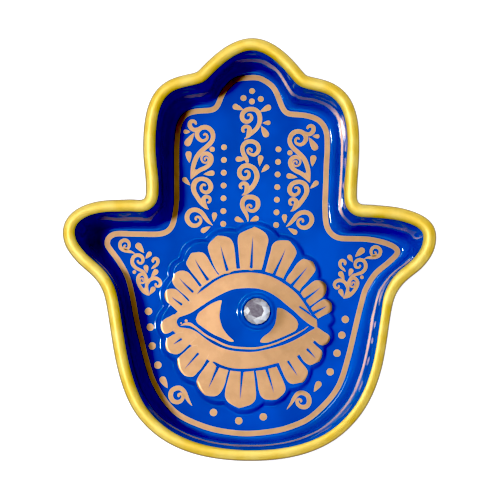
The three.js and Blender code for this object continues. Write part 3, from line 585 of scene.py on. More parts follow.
# scrolls as strokes: place and width along each, from its tip to the curl's end; drops: head, radius and tip; dots
middleVine = {
    "strokes": [
        [(-2.24, 34.97, 0.16), (-1.09, 35.74, 0.81), (0.25, 36.99, 1.22), (1.46, 38.24, 1.29), (2.26, 39.63, 1.29),
         (2.51, 41.28, 1.43), (2.15, 42.92, 1.43), (1.11, 44.01, 1.36), (-0.4, 44.26, 1.36), (-1.75, 43.9, 1.36),
         (-2.76, 42.85, 1.36), (-2.95, 41.61, 1.36), (-2.39, 40.66, 1.36), (-1.43, 40.33, 1.22), (-0.48, 40.69, 1.09),
         (-0.02, 41.52, 1.02), (-0.3, 42.41, 0.81), (-0.92, 42.61, 0.61), (-1.25, 42.05, 0.54)],
        [(-1.5, 35.39, 0.41), (-0.77, 36.98, 1.43), (-0.65, 38.21, 1.36), (-1.27, 38.82, 1.15), (-2.09, 38.81, 1.09),
         (-2.69, 38.18, 1.02), (-2.55, 37.36, 0.81), (-1.93, 37.37, 0.57)],
        [(-0.98, 27.65, 0.95), (-1.54, 29.01, 1.29), (-2.24, 30.23, 1.29), (-2.67, 31.46, 1.29), (-2.61, 32.7, 1.29),
         (-1.88, 33.8, 1.29), (-0.66, 34.3, 1.29), (0.7, 34.18, 1.29), (1.8, 33.45, 1.29), (2.3, 32.22, 1.29),
         (1.97, 31.05, 1.22), (1.03, 30.21, 1.09), (0.08, 30.27, 0.95), (-0.82, 30.8, 0.81), (-1.1, 31.62, 0.75),
         (-0.63, 32.11, 0.75), (0.12, 31.71, 0.68), (0, 31.09, 0.57)],
        [(-2.74, 17.68, 0.16), (-1.52, 18.39, 0.95), (-0.18, 19.64, 1.43), (0.89, 20.88, 1.43), (1.62, 22.4, 1.49),
         (1.87, 23.91, 1.56), (1.3, 25.54, 1.49), (0.27, 26.49, 1.43), (-1.1, 26.88, 1.43), (-2.46, 26.59, 1.36),
         (-3.4, 25.48, 1.36), (-3.51, 24.24, 1.36), (-2.82, 23.16, 1.36), (-1.73, 22.9, 1.22), (-0.85, 23.32, 1.15),
         (-0.52, 24.28, 1.02), (-0.87, 25.03, 0.81), (-1.49, 25.16, 0.68), (-1.89, 24.61, 0.57)],
        [(-1.93, 18.11, 0.48), (-1.2, 19.35, 1.43), (-1.15, 20.72, 1.43), (-1.84, 21.39, 1.22), (-2.66, 21.31, 1.09),
         (-3.19, 20.69, 1.02), (-2.98, 20.01, 0.81), (-2.43, 20.01, 0.57)],
        [(-0.72, 9.58, 0.16), (-0.8, 10.74, 0.81), (-1.3, 12.1, 1.15), (-2, 13.32, 1.29), (-2.49, 14.68, 1.36),
         (-2.31, 16.05, 1.43), (-1.5, 17.02, 1.43), (-0.28, 17.24, 1.43), (0.94, 17.12, 1.43), (2.04, 16.38, 1.43),
         (2.33, 15.02, 1.43), (2.01, 13.92, 1.29), (1.13, 13.09, 1.15), (0.05, 13.01, 1.02), (-0.78, 13.54, 0.88),
         (-0.99, 14.29, 0.75), (-0.39, 14.85, 0.68), (0.23, 14.51, 0.68), (0.17, 13.9, 0.57)],
    ],
    "drops": [(-5, 44.9, 0.9, -2.5, 44), (5, 44.8, 0.92, 2.4, 43.4), (5.1, 40.1, 0.71, 3.3, 40),
              (4.4, 36.6, 1, 2.9, 39.2), (-3.9, 28.8, 0.84, -1.5, 28.9), (2.9, 29.3, 0.84, 2.6, 26.6),
              (4.8, 26.5, 0.79, 3.1, 24.8), (-3.9, 10.4, 0.84, -1.9, 9.6), (1.8, 10.7, 0.84, -0.1, 9.8)],
    "dots": [],
}
leftVine = {
    "strokes": [
        [(-18.27, 22.36, 0.14), (-17.95, 23.9, 0.95), (-17.58, 26.51, 1.36), (-16.74, 28.98, 1.43),
         (-15.67, 30.58, 1.43), (-14.33, 31.9, 1.36), (-12.92, 33.15, 1.36), (-11.99, 34.4, 1.36),
         (-11.69, 35.78, 1.36), (-12.1, 37.21, 1.43), (-13.07, 38.16, 1.47), (-14.3, 38.48, 1.43),
         (-15.65, 38.05, 1.43), (-16.59, 36.8, 1.36), (-16.43, 35.43, 1.29), (-15.46, 34.42, 1.09),
         (-14.37, 34.37, 0.95), (-13.53, 35, 0.81), (-13.51, 35.89, 0.75), (-14.13, 36.43, 0.65),
         (-14.73, 35.87, 0.57)],
        [(-15.6, 37.9, 1), (-16.33, 37.84, 1.09), (-17.56, 37.61, 1.22), (-18.38, 38.08, 1.29), (-18.87, 38.97, 1.36),
         (-18.75, 39.86, 1.29), (-18.01, 40.29, 1.15), (-17.18, 39.95, 0.88), (-16.97, 39.13, 0.61)],
        [(-18.27, 22.36, 0.14), (-17.2, 23.98, 1.22), (-15.59, 25.23, 1.29), (-13.83, 26.08, 1.29),
         (-12.56, 27.19, 1.29), (-12.04, 28.71, 1.29), (-12.6, 29.93, 1.29), (-13.76, 30.4, 1.22),
         (-14.78, 29.83, 0.81), (-15.17, 28.87, 0.65), (-14.75, 27.85, 0.62), (-13.86, 27.52, 0.6),
         (-13.11, 28.05, 0.57), (-13.13, 28.9, 0.54), (-13.81, 29.16, 0.52), (-14.21, 28.68, 0.49),
         (-13.87, 28.27, 0.46)],
        [(-12.61, 13.25, 0.16), (-13.65, 13.95, 0.95), (-15.03, 15.29, 1.29), (-16.28, 17.05, 1.36),
         (-17.26, 18.82, 1.43), (-17.42, 20.32, 1.56), (-16.89, 21.69, 1.49), (-15.82, 22.46, 1.29),
         (-14.46, 22.58, 1.29), (-13.09, 22.02, 1.36), (-12.25, 20.8, 1.43), (-12.24, 19.57, 1.36),
         (-12.9, 18.67, 1.22), (-13.85, 18.48, 1.09), (-14.81, 18.99, 0.95), (-15.13, 19.94, 0.88),
         (-14.7, 20.7, 0.79), (-14.02, 20.78, 0.68), (-13.74, 20.3, 0.57)],
        [(-13.23, 13.61, 0.54), (-14.21, 15.03, 1.49), (-14.36, 16.4, 1.36), (-13.56, 17.16, 1.15),
         (-12.63, 16.9, 1.02), (-12.28, 16.15, 0.88), (-12.65, 15.46, 0.75), (-13.26, 15.52, 0.57)],
        [(-11.38, 8.38, 0.16), (-12.62, 9.45, 0.95), (-13.73, 10.8, 1.29), (-14.7, 12.09, 1.36), (-15.8, 12.85, 1.36),
         (-17.17, 13.1, 1.36), (-18.45, 12.58, 1.36), (-19.18, 11.41, 1.43), (-19.18, 10.04, 1.43),
         (-18.39, 8.82, 1.36), (-17.23, 8.23, 1.29), (-16.01, 8.45, 1.15), (-15.14, 9.28, 0.95), (-15.08, 10.24, 0.81),
         (-15.71, 10.91, 0.75), (-16.45, 10.83, 0.68), (-16.65, 10.28, 0.62), (-16.23, 9.88, 0.57)],
        [(-18.2, 22.5, 0.3), (-17.6, 23.9, 0.9), (-17.1, 24.9, 1), (-16.8, 25.5, 0.7)],
    ],
    "drops": [(-20.1, 37, 0.68, -18.6, 37), (-19.4, 33.6, 1.06, -17.5, 36.7), (-19.1, 30.1, 0.95, -18.8, 27.4),
              (-11.9, 24.4, 0.84, -14.5, 24), (-20.2, 22.3, 0.79, -18.4, 20.5), (-10.9, 11.6, 0.81, -11.1, 9.5),
              (-14.2, 6.8, 0.81, -12, 8.1)],
    "dots": [(-11.9, 31.7, 0.81)],
}
leftThumb = {
    "strokes": [
        [(-34.85, -0.59, 0.16), (-36.08, -0.07, 0.75), (-37.31, 0.15, 1.02), (-38.53, 0.51, 1.09),
         (-39.36, 1.25, 1.09), (-39.52, 2.41, 1.09), (-38.92, 3.23, 1.09), (-37.91, 3.49, 1.09), (-37.02, 2.99, 1.02),
         (-36.69, 1.97, 0.95), (-37.08, 1.01, 0.81), (-37.86, 0.86, 0.68), (-38.28, 1.33, 0.57), (-38.08, 1.88, 0.54),
         (-37.61, 1.89, 0.49)],
        [(-30.29, -13.33, 0.16), (-30.85, -12.31, 0.75), (-31.21, -10.69, 0.95), (-31.11, -8.92, 1.02),
         (-31.54, -7.42, 1.02), (-32.31, -6.01, 0.81), (-33.61, -5.41, 0.95), (-34.91, -4.61, 1.09),
         (-35.68, -3.4, 1.11), (-35.57, -2.1, 1.11), (-34.84, -1.21, 1.11), (-33.62, -1.03, 1.11),
         (-32.68, -1.65, 1.06), (-32.44, -2.67, 0.95), (-32.9, -3.43, 0.81), (-33.64, -3.44, 0.68),
         (-34.06, -2.9, 0.6), (-33.73, -2.55, 0.54)],
        [(-29.95, -5.22, 0.16), (-29.08, -4.53, 0.81), (-28.17, -3.77, 0.95), (-27.86, -2.74, 1.02),
         (-28.31, -2, 1.02), (-29.12, -2.08, 0.95), (-29.45, -2.7, 0.81), (-29.17, -3.24, 0.62)],
        [(-30.29, -13.33, 0.16), (-31.79, -12.33, 1.02), (-33.04, -10.85, 1.09), (-33.82, -9.23, 1.02),
         (-33.91, -7.94, 1.02), (-33.24, -6.97, 1.02), (-32.3, -6.76, 1.02), (-31.67, -7.56, 0.81),
         (-31.65, -8.65, 0.62), (-32.12, -9.41, 0.6), (-32.86, -9.42, 0.57), (-33.28, -8.81, 0.54),
         (-33.02, -8.13, 0.52), (-32.41, -8.12, 0.49), (-32.27, -8.59, 0.46), (-32.56, -8.8, 0.43)],
        [(-31.02, -9.87, 0.81), (-30.43, -8.77, 1.02), (-29.42, -8.1, 1.09), (-28.34, -8.03, 1.09),
         (-27.38, -8.59, 1.06), (-27.03, -9.54, 0.98), (-27.49, -10.39, 0.84), (-28.23, -10.4, 0.71),
         (-28.51, -9.83, 0.6), (-28.11, -9.55, 0.54)],
        [(-30.4, -13.1, 0.3), (-31.1, -12.1, 0.9), (-31.6, -11.4, 0.8), (-31.9, -10.9, 0.3)],
    ],
    "drops": [(-33.9, 1.8, 0.98, -32.1, -0.4), (-30.5, -0.6, 0.73, -31.7, -2.1), (-31.5, -4.7, 0.73, -31.1, -6.5),
              (-28.5, -6, 0.81, -29.9, -7.7), (-29.2, -11.3, 0.75, -30.3, -13.1)],
    "dots": [(-35, -6.2, 0.57)],
}
leftCurl = {
    "strokes": [
        [(-16.74, -46.6, 0.16), (-17.77, -45.3, 0.81), (-18.61, -43.69, 1.22), (-19.24, -42.38, 1.32),
         (-20.27, -41.38, 1.39), (-21.49, -41.26, 1.43), (-22.9, -42.03, 1.43), (-23.38, -43.56, 1.47),
         (-22.64, -45.07, 1.43), (-21.22, -45.55, 1.26), (-20.01, -44.93, 1.12), (-19.62, -43.81, 0.98),
         (-20.24, -43, 0.81), (-21.05, -43.32, 0.69), (-20.73, -44.02, 0.61)],
    ],
    "drops": [(-25.8, -38.8, 1.02, -24.3, -41.4)], "dots": [],
}
rightCurl = {
    "strokes": [
        [(11.85, -47.31, 0.16), (13.14, -45.47, 0.81), (14.13, -43.73, 1.22), (15.33, -42.4, 1.32),
         (16.75, -42.21, 1.39), (18.18, -43.06, 1.43), (18.65, -44.78, 1.47), (17.92, -46.21, 1.43),
         (16.5, -46.47, 1.26), (15.28, -45.74, 1.12), (14.96, -44.63, 0.94), (15.66, -44.11, 0.77),
         (16.27, -44.51, 0.65), (15.98, -45.12, 0.57)],
    ],
    "drops": [(21.4, -39.5, 0.98, 20, -41.9)], "dots": [],
}
# the right side repeats the left by hand: how it leans and shrinks away from a level, how much lower it was drawn,
# and how it tilts about its middle
rightVine = {"level": 36, "lean": 0.02, "shrink": 0.024, "lower": 0.824, "tilt": 0, "middle": 15}
rightThumb = {"level": 0.4, "lean": 0.12, "shrink": 0, "lower": 0.36, "tilt": 0.12, "middle": 33}


# a place mirrored: x changes sign and leans with height; y drops, shrinks with height and tilts with x
def otherHand(vine, drawn):
    def mirrored(x, y):
        up = y - drawn["level"]
        tilted = drawn["tilt"] * (abs(x) - drawn["middle"])
        return -x + drawn["lean"] * up, y - drawn["lower"] - drawn["shrink"] * up - tilted
    return {
        "strokes": [[(*mirrored(x, y), w) for x, y, w in rows] for rows in vine["strokes"]],
        "drops": [(*mirrored(x, y), r, *mirrored(u, v)) for x, y, r, u, v in vine["drops"]],
        "dots": [(*mirrored(x, y), r) for x, y, r in vine["dots"]],
    }


def layVine(name, vine, node):
    shapes = [stroke(rows) for rows in vine["strokes"]]
    shapes += [drop(*row) for row in vine["drops"]] + [dot(*row) for row in vine["dots"]]
    layFoil(name, shapes, [node])


layVine("middleVine", middleVine, "middle_vine")
layVine("leftVine", leftVine, "left_vine")
layVine("rightVine", otherHand(leftVine, rightVine), "right_vine")
layVine("leftThumbVine", leftThumb, "left_thumb_vine")
layVine("rightThumbVine", otherHand(leftThumb, rightThumb), "right_thumb_vine")
layVine("leftWristCurl", leftCurl, "left_wrist_curl")
layVine("rightWristCurl", rightCurl, "right_wrist_curl")
print("vines laid")


# petals: left outline from base to tip, right outline as far as the same tip, then the slit's two ends, and whether
# each slit runs out at the base
upperPetals = {
    "slit": 0.92, "open": [False] * 3 + [True] * 4,
    "rows": [
        ([(-14.1, -10.3), (-14.8, -9.5), (-16.1, -7.9), (-18, -5.6), (-19.2, -3.6), (-18.8, -2.2), (-17.8, -0.4),
          (-16.6, -0.1), (-15.6, 0.1)],
         [(-9.4, -6.9), (-10.1, -6), (-11.5, -3.9), (-12.9, -1.5), (-14.1, -0.2)], [(-12.5, -8.5), (-16.6, -2.1)]),
        ([(-8.7, -6.9), (-9.5, -6.2), (-10.5, -4.7), (-11.7, -1.9), (-12.7, 1.2), (-12.4, 2.6), (-11.2, 3.9), (-10, 5),
          (-8.6, 5.1)],
         [(-3.6, -5.2), (-4, -4.6), (-4.3, -1.8), (-4.8, 1.9), (-5.5, 3.7), (-6.7, 4.7)],
         [(-6.6, -5.8), (-8.9, 2.3)]),
        ([(-2.8, -5.1), (-2.9, -4.2), (-3.1, -2.6), (-3.4, 0.3), (-3.7, 3.8), (-3.3, 5.6), (-1.5, 6.7), (0.3, 7.5),
          (1.4, 8)],
         [(3.6, -5.1), (3.8, -4.5), (4.4, -2), (5.1, 1.4), (5.6, 3.9), (5, 5.7), (3.7, 6.9)],
         [(0.5, -4.6), (0.9, 5.1)]),
        ([(4.7, -5.6), (5, -4.7), (5.5, -2.6), (6.3, 0.4), (6.8, 2.5), (8, 3.7), (9.8, 4)],
         [(10.3, -7.7), (10.8, -6.5), (11.8, -4.6), (13.4, -1.7), (14.2, 0.2), (13.7, 1.7), (12.7, 3), (11.8, 3.9)],
         [(7.4, -6.6), (10.8, 1.5)]),
        ([(11, -8.3), (11.6, -7), (12.8, -5.4), (14.2, -3.3), (15.4, -2.1), (16.4, -1.6), (17.8, -1.9)],
         [(15.2, -11.5), (15.9, -10.3), (17.1, -9), (18.9, -6.8), (19.9, -5.3), (20, -4.3), (19.4, -2.6),
          (18.6, -2.1)], [(12.8, -9.8), (17.6, -3.9)]),
        ([(15.6, -12.1), (16.4, -11), (17.5, -10), (19.1, -8.6), (20.3, -8), (21.8, -8.1)],
         [(18.4, -16), (19.2, -15.4), (20.6, -14.4), (22.6, -12.8), (23.4, -11.3), (23.4, -9.4), (22.7, -8.5)],
         [(16.8, -14), (21.6, -10.1)]),
        ([(18.8, -16.6), (19.6, -15.8), (20.6, -15), (22, -14.1), (23.1, -13.7), (24.4, -14.2)],
         [(21, -19.7), (21.7, -19.3), (22.7, -18.7), (24.5, -17.8), (25.2, -17), (25.1, -15)],
         [(19.5, -18.1), (23.7, -15.7)]),
    ],
    # on the left the petals stand on a thin strip along the arc: place and width
    "strip": [(-16.4, -12.3, 0.2), (-14.7, -10.7, 0.5), (-12, -8.6, 0.5), (-9.3, -7, 0.5), (-6.5, -5.75, 0.5),
              (-3.4, -5.1, 0.48), (-0.4, -4.95, 0.4), (2, -5, 0.2)],
}
lowerPetals = {
    "slit": 0.9, "open": [True] * 3,
    "rows": [
        ([(-11.3, -32.8), (-12.1, -33.6), (-13.2, -35.2), (-14.6, -37.1), (-15.4, -38.7), (-15.5, -40.1),
          (-14.8, -41.5), (-13.1, -43.3)],
         [(-6, -35.7), (-6.1, -36.3), (-6.5, -37.7), (-6.9, -39.6), (-7.7, -41.6), (-8.7, -43), (-9.9, -43.6),
          (-11.5, -43.6)], [(-9.1, -34.6), (-11.9, -41.2)]),
        ([(-5.4, -35.8), (-5.6, -36.7), (-6.1, -38.7), (-6.8, -41.8), (-6.8, -43.8), (-5.8, -45.4), (-4.2, -46.4),
          (-2.5, -47.1)],
         [(1.7, -35.8), (1.9, -37.2), (2.2, -39.6), (2.5, -42.7), (2.3, -44.5), (1.1, -45.9), (-0.7, -46.6)],
         [(-1.8, -36), (-2.3, -44.5)]),
        ([(2.3, -35.8), (2.6, -37.2), (2.9, -39), (3.2, -41.2), (3.9, -43.2), (5.2, -44.3), (7.2, -44.5)],
         [(8.6, -34.4), (9.1, -35.5), (10.1, -37.5), (11, -39.5), (11.4, -41.1), (11, -42.3), (9.8, -43.6),
          (8.6, -44.4)], [(5.6, -35.1), (7.8, -42.3)]),
    ],
}
# the petals that grow out of the lids
lidPetals = {
    "slit": 0.74, "open": [False] * 8,
    "rows": [
        ([(-20.9, -18.7), (-23.7, -16.2), (-25.4, -14.6), (-25.7, -12.9), (-25, -11.6), (-23.8, -11.2)],
         [(-17.8, -15.6), (-19.1, -14.3), (-20.7, -12.7), (-22.3, -11.4)], [(-20.3, -16.1), (-23.5, -13.6)]),
        ([(-17.5, -15.4), (-18.8, -13.8), (-20.7, -12.2), (-22.6, -10.5), (-23.4, -8.8), (-22.8, -6.9), (-21.6, -5.9),
          (-20.2, -5.6)],
         [(-14.6, -10.9), (-15.4, -10.1), (-16.9, -8.1), (-18.6, -6.2)], [(-17, -12.2), (-21.3, -7.8)]),
        ([(-22.5, -19), (-23, -19.1), (-23.8, -19.6), (-25.6, -20.6), (-26.6, -22), (-26.7, -23.3)],
         [(-22.4, -23.5), (-23.2, -24.1), (-24.2, -24.7), (-25.4, -24.9), (-26.2, -24.2)], None),
        ([(-19.9, -24.3), (-22.1, -24.8), (-24, -25.9), (-24.8, -26.6), (-25.1, -28.1), (-25.1, -29.1),
          (-24.6, -30.1)],
         [(-16.4, -26.7), (-18, -28.2), (-19.6, -29.8), (-20.8, -30.8), (-22, -31.1), (-23.4, -30.8)],
         [(-20.2, -26.4), (-22.8, -28.2)]),
        ([(-15.4, -28.1), (-17.4, -28.7), (-19.4, -30.5), (-21, -32), (-21.6, -33.3), (-21.2, -34.9), (-20.2, -36.6)],
         [(-11.9, -31.1), (-12.9, -33.1), (-14, -35), (-15.2, -36.4), (-16.2, -37.5), (-17.4, -37.9), (-19.1, -37.5)],
         [(-15.1, -30.7), (-19.3, -35.6)]),
        ([(9.1, -32.9), (9.7, -34.3), (10.4, -35.9), (11.3, -37.8), (12.3, -39.1), (13.6, -39.6), (15.3, -39.3)],
         [(14.7, -31.2), (15.3, -32.1), (16.5, -33.5), (17.6, -34.8), (18.1, -35.9), (17.8, -37.2), (16.8, -38.9)],
         [(12, -32.7), (15, -37.2)]),
        ([(15.1, -30.1), (16.6, -32.4), (17.6, -33.3), (18.8, -33.8), (20.4, -33.2)],
         [(19.1, -26.6), (20.2, -27.6), (21.3, -28.6), (22.3, -29.6), (22.3, -31), (21.6, -32.6)],
         [(17.7, -28.9), (20.4, -31.8)]),
        ([(19.1, -25.6), (20.4, -26.6), (21.3, -27.4), (22.4, -27.8), (23.7, -27.4), (24.6, -26.4)],
         [(19.9, -22.6), (20.9, -22.4), (22.3, -23.3), (24, -24.4), (24.7, -25.3)], None),
    ],
}
leaf = {"steps": 60, "leftOff": 0.15, "taper": 0.8, "blunt": 0.04}


# a petal is two leaves ruled from its outlines to its middle line, and the slit parts them: its half width is full
# at the base end, blunt there unless it runs out, and falls to nothing at the far end
def petal(left, right, slit, width, runsOut):
    count = leaf["steps"]
    base, tip = 0.5 * (np.array(left[0]) + right[0]), left[-1]
    way = [tuple(base), *(slit or [tuple(0.5 * (base + tip))]), tip]
    left, right = lineThrough(left, count), lineThrough(right + [tip], count)
    middle = lineThrough(way[1:] if runsOut else way, count, leaf["leftOff"] if runsOut else 0)
    half = np.zeros(count)
    if slit:
        start, end = np.array(slit)
        along = (middle - start) @ (end - start) / np.hypot(*(end - start)) ** 2
        half = 0.5 * width * np.clip(1 - along, 0, 1) ** leaf["taper"]
        if not runsOut:
            half = half * rise(along / leaf["blunt"] + 0.5)
    aside = leftOf(middle) * half[:, None]
    aside *= np.sign(((left - middle) * leftOf(middle)).sum())  # towards the left outline
    return [ruled(left, middle + aside, True, False), ruled(right, middle - aside, True, False)]


def petalShapes(petals):
    return [half for (left, right, slit), runsOut in zip(petals["rows"], petals["open"])
            for half in petal(left, right, slit, petals["slit"], runsOut)]


strip = stroke(upperPetals["strip"])
for name, petals, shapes in (("upper", upperPetals, [strip]), ("lower", lowerPetals, [])):
    nodes = numbered(name + "_petal", len(petals["rows"]))
    layFoil(name + "Petals", petalShapes(petals) + shapes, nodes, leaves=2)

# the lids: bands ruled between their outer and inner edges; a slit splits the upper one near its outer corner, and
# each draws back a little from the arc between it and its petals
lids = {
    "steps": 150, "arcRoom": 0.27, "upperArc": -16, "upperEase": 3, "lowerArc": (-11.5, 9.5), "lowerEase": 1.5,
    "cornerSlit": [(15.4, -16.2), (19.3, -18.8)], "slitWidth": 0.6, "slitEase": 0.3, "seamFrom": 4, "seamEase": 10,
    "sliverEnd": 18.6, "dab": (-23, -20.5, 0.75),
    "upperOutside": [(-22, -18.5), (-19.6, -16.3), (-17.6, -14.3), (-16.1, -13.1), (-14.2, -11.4), (-11.6, -9.3),
                     (-9.1, -7.7), (-6.3, -6.5), (-3.3, -5.9), (-0.3, -5.7), (1, -5.7), (3.6, -6), (6.6, -6.8),
                     (9.6, -8.3), (12.6, -10.3), (14.6, -12), (16.2, -13.9), (17.9, -16.4), (19.1, -18.5),
                     (20.4, -20.3), (21, -21.9)],
    "upperInside": [(-21.6, -20.1), (-20.7, -19.7), (-19, -19.1), (-17.1, -18.2), (-14.3, -16.3), (-11.3, -14.3),
                    (-8.3, -12.6), (-5.3, -11.3), (-2.2, -10.8), (0.8, -10.7), (3.3, -11), (6.2, -12), (8.8, -13.6),
                    (11.3, -15.6), (13.8, -17.6), (16.2, -19.8), (18.3, -21.4), (20.8, -22.8)],
    "lowerInside": [(-21.3, -20.1), (-21.7, -20.6), (-21.85, -21.4), (-21.5, -22.3), (-20.8, -22.9), (-19.2, -23.1),
                    (-17.3, -23.5), (-15.4, -24.5), (-13, -26.3), (-10.1, -28.1), (-7, -29.3), (-4, -29.9),
                    (0.1, -30.1), (2.6, -29.9), (5, -29.4), (8, -28.6), (11.1, -27.6), (14.1, -26.2), (16.7, -24.7),
                    (18.7, -23.4), (20.2, -22.7), (21.2, -22.5)],
    "lowerOutside": [(-21.9, -18.4), (-23.6, -20.5), (-23.6, -22.4), (-22.7, -24.2), (-20.2, -26.1), (-17.7, -28.1),
                     (-14.9, -30.4), (-12.3, -32.6), (-11.2, -33.3), (-10.4, -33.4), (-8.7, -34.2), (-6.5, -35),
                     (-4.3, -35.4), (-1.5, -35.5), (1.4, -35.3), (4.1, -34.9), (6.1, -34.4), (8.1, -33.8),
                     (9.7, -33.1), (12.2, -32.2), (15, -31), (18, -28.2), (20.2, -26.2), (21.6, -24)],
}
outside, inside, lowerInside, under = [
    lineThrough(lids[edge], lids["steps"]) for edge in ("upperOutside", "upperInside", "lowerInside", "lowerOutside")]
drawnBack = rise((outside[:, :1] - lids["upperArc"]) / lids["upperEase"])
outside = outside - leftOf(outside) * lids["arcRoom"] * drawnBack
middle = 0.5 * (outside + inside)
slitFrom, slitTo = np.array(lids["cornerSlit"])
slitRun = slitTo - slitFrom
past = middle[:, 0] - slitFrom[0]
downhill = np.array([slitRun[1], -slitRun[0]]) / np.hypot(*slitRun)
onSlit = slitFrom + slitRun * (past / slitRun[0])[:, None]
seam = middle + (onSlit - middle) * rise((middle[:, 0] - lids["seamFrom"]) / lids["seamEase"])[:, None]
gap = downhill * (0.5 * lids["slitWidth"] * rise((past + lids["slitEase"]) / lids["slitEase"]))[:, None]
kept = seam[:, 0] < lids["sliverEnd"]  # the upper sliver ends where the slit meets the arc
arcFrom, arcTo = lids["lowerArc"]
drawnBack = rise((under[:, :1] - arcFrom) / lids["lowerEase"]) * rise((arcTo - under[:, :1]) / lids["lowerEase"])
under = under + leftOf(under) * lids["arcRoom"] * drawnBack
bands = [ruled(outside[kept], (seam - gap)[kept], False, False), ruled(seam + gap, inside, False, True),
         ruled(lowerInside, under, True, False), dot(*lids["dab"])]  # the dab fills the inner corner
layFoil("eyeLids", bands + petalShapes(lidPetals), ["eye_lids"], leaves=2)

# the whites of the eye and the lash: outlines ruled between an upper and a lower line, one stroke and two dots
eye = {
    "steps": 90,
    "leftUpper": [(-16.1, -20.4), (-15.3, -18.6), (-13.9, -17.4), (-11.9, -15.9), (-9.7, -14.8), (-8.3, -14.6),
                  (-8.5, -15.9), (-8.7, -17.5), (-8.9, -19.3), (-8.5, -21.3), (-7.7, -23.3), (-6.1, -25.3),
                  (-4.6, -26.6), (-4.5, -27.1)],
    "leftLower": [(-16.1, -20.4), (-15.5, -21.6), (-14.2, -22.6), (-11.2, -24.6), (-8.1, -26), (-5.7, -27),
                  (-4.5, -27.1)],
    "rightUpper": [(15, -21.4), (14.8, -20.8), (14, -19.6), (12.1, -18), (10.1, -16.8), (8.7, -16.6), (8.5, -17.2),
                   (8.3, -19.7), (7.7, -22.1), (6.3, -24), (4.5, -25.4), (3.5, -26.8), (4.1, -27.3)],
    "rightLower": [(15, -21.4), (14.7, -22.7), (13.8, -23.7), (11, -25.1), (8, -26.4), (5.6, -27.2), (4.1, -27.3)],
    "lash": [(-20.6, -22.4, 0.2), (-19.3, -21.9, 0.75), (-17.9, -21.9, 0.95), (-16.9, -22.4, 0.8),
             (-15.4, -23.4, 0.66), (-13, -25.2, 0.6), (-10.1, -26.7, 0.6), (-7.1, -28.1, 0.6), (-4, -28.8, 0.62),
             (0.1, -29, 0.64), (2.6, -28.9, 0.64), (5, -28.4, 0.6), (8, -27.5, 0.55), (11, -26.2, 0.5),
             (14.1, -24.7, 0.45), (16.3, -23.4, 0.38), (18.1, -22.1, 0.25)],
    "lashDots": [(-19, -20.9, 0.45), (-20.5, -21.6, 0.26)],
}
for side in ("left", "right"):
    white = ruled(*[lineThrough(eye[side + edge], eye["steps"]) for edge in ("Upper", "Lower")])
    layFoil(side + "EyeWhite", [white], [side + "_eye_white"])
layFoil("lashLine", [stroke(eye["lash"])] + [dot(*row) for row in eye["lashDots"]], ["lash_line"])
print("flower and eye laid")


# the stone: an eight-sided table, eight stars, eight kites and sixteen girdle facets over a flat back, as rings of
# corners; radii and heights in mm
stone = {
    "table": (2.1, 9.2), "stars": (2.95, 8.75), "girdle": (3.98, 7.5), "back": (3.92, 6.86), "starTurn": 22.5,
    # how light a painted reflection each facet shows: the table, the side and the back, then stars and kites round
    # from the right
    "tableGlint": 0.07, "sideGlint": 0.2, "backGlint": 0,
    "starGlint": [0.8, 0.35, 0.12, 0.1, 0.15, 0.35, 0.75, 0.95],
    "kiteGlint": [1.0, 0.6, 0.25, 0.08, 0.7, 0.35, 0.7, 0.95],
    "girdleShare": [(0.4, 0.5), (0.3, 0.4)],  # of the star's and the kite's, in the two facets under each star
}


def cornerRing(count, radius, height, turn=0):
    at = np.radians(turn) + 2 * np.pi * np.arange(count) / count
    x, y = dish["stone"]
    return np.column_stack([x + radius * np.cos(at), y + radius * np.sin(at), np.full(count, height)])


def onward(ring):  # each corner's neighbour round the ring
    return np.roll(ring, -1)


corners = np.vstack([cornerRing(8, *stone["table"]), cornerRing(8, *stone["stars"], stone["starTurn"]),
                     cornerRing(16, *stone["girdle"]), cornerRing(16, *stone["back"])])
tableAt, starAt, girdleAt, backAt = np.split(np.arange(len(corners)), [8, 16, 32])  # the corners of each ring
evenAt, oddAt = girdleAt[::2], girdleAt[1::2]
facets = [tableAt.tolist(), backAt[::-1].tolist()]
for row in ((onward(tableAt), starAt, tableAt), (onward(starAt), onward(evenAt), starAt, onward(tableAt)),
            (starAt, evenAt, oddAt), (starAt, oddAt, onward(evenAt)),
            (girdleAt, backAt, onward(backAt), onward(girdleAt))):
    facets += np.stack(row, -1).tolist()
mesh = bpy.data.meshes.new("eyeStone")
mesh.from_pydata((corners * mm).tolist(), [], facets)
star, kite = np.array(stone["starGlint"]), np.array(stone["kiteGlint"])
(starFirst, kiteFirst), (starSecond, kiteSecond) = stone["girdleShare"]
glints = np.concatenate([[stone["tableGlint"], stone["backGlint"]], star, onward(kite),
                         starFirst * star + kiteFirst * kite, starSecond * star + kiteSecond * onward(kite),
                         np.full(16, stone["sideGlint"])])
mesh.attributes.new("glint", "FLOAT", "FACE").data.foreach_set("value", glints)
joinUp(mesh, True)
placePiece("eyeStone", mesh, clear.material, ["eye_stone"])
for node, finish in (("stone_foil", silver), ("stone_cement", paste)):
    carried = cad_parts[node]
    carried.data.materials.clear()
    carried.data.materials.append(finish.material)
print("stone set")


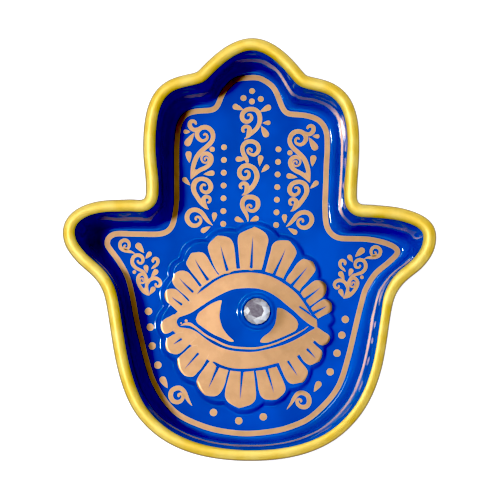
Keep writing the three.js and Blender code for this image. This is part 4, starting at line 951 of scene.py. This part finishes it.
# a white table, a key lamp high on the left, a dome that is dark overhead and bright low down, and the camera above
studio = {
    "floorSide": 4.0, "floorGlow": 0.95, "paper": (0.36, 0.36, 0.36), "paperGrain": (0.32, 0.32, 0.32),
    "keyTurn": 175, "keyHeight": 65, "keyPower": 2.38, "keySpread": 6.5,
    "domeLow": 0.32, "domeHigh": 0.05, "domeEdge": (0.80, 0.985), "black": (0.07, 0.063, 0.078),
    # soft windows: turn, height, edge and middle in degrees, strength
    "windows": [(139, 60, 11, 6, 8.0), (262, 58, 20, 8, 1.8), (85, 50, 22, 10, 1.5)],
}
halfSide = 0.5 * studio["floorSide"] * np.array([-1, 1])
gridX, gridY = np.meshgrid(halfSide, halfSide)
table = bpy.data.meshes.new("table")
table.from_pydata(np.stack([gridX, gridY, 0 * gridX], -1).reshape(-1, 3).tolist(), [], [(0, 1, 3, 2)])
tableTop = bpy.data.objects.new("table", table)
bpy.context.collection.objects.link(tableTop)
paper = Finish("whitePaper", Roughness=0.9, Emission_Color=(1, 1, 1, 1), Emission_Strength=studio["floorGlow"])
paper.set("Base Color", paper.blend(paper.noise(40, 3), studio["paper"], studio["paperGrain"]))
table.materials.append(paper.material)

scene = bpy.context.scene
key = bpy.data.objects.new("keyLamp", bpy.data.lights.new("keyLamp", "SUN"))
key.data.energy = studio["keyPower"]
key.data.angle = math.radians(studio["keySpread"])
key.rotation_euler = (0, math.radians(90 - studio["keyHeight"]), math.radians(studio["keyTurn"]))
bpy.context.collection.objects.link(key)

dome = Dome("dome")
overhead = dome.between(dome.node("SeparateXYZ", {}, {0: dome.place}, out="Z"), *studio["domeEdge"])
light = studio["domeLow"] - overhead * (studio["domeLow"] - studio["domeHigh"])
for *place, strength in studio["windows"]:
    light = light + dome.patch(*place) * strength
dome.set("Color", (1, 1, 1, 1))
dome.set("Strength", light)
scene.world = dome.world
scene.view_settings.view_transform = "Standard"
scene.view_settings.use_curve_mapping = True  # the darkest tones go to black
scene.view_settings.curve_mapping.black_level = studio["black"]
scene.view_settings.curve_mapping.update()

# the camera looks down at 85 degrees from the wrist's side, turned a little about its own axis
view = {"target": (0.06, -0.36, 20), "distance": 900, "height": 85, "roll": 0.817, "lens": 216.8, "sensor": 36}
up, roll = math.radians(view["height"]), math.radians(view["roll"])
backward = np.array([0, -math.cos(up), math.sin(up)])
right, top = np.array([1.0, 0, 0]), np.array([0, math.sin(up), math.cos(up)])
axes = np.eye(4)
axes[:3, 0] = right * math.cos(roll) + top * math.sin(roll)
axes[:3, 1] = top * math.cos(roll) - right * math.sin(roll)
axes[:3, 2] = backward
axes[:3, 3] = (np.array(view["target"]) + view["distance"] * backward) * mm
camera = bpy.data.objects.new("camera", bpy.data.cameras.new("camera"))
camera.data.lens = view["lens"]
camera.data.sensor_width = view["sensor"]
camera.data.clip_start = 10 * mm
camera.matrix_world = Matrix(axes.tolist())
bpy.context.collection.objects.link(camera)
scene.camera = camera
print("stage set")
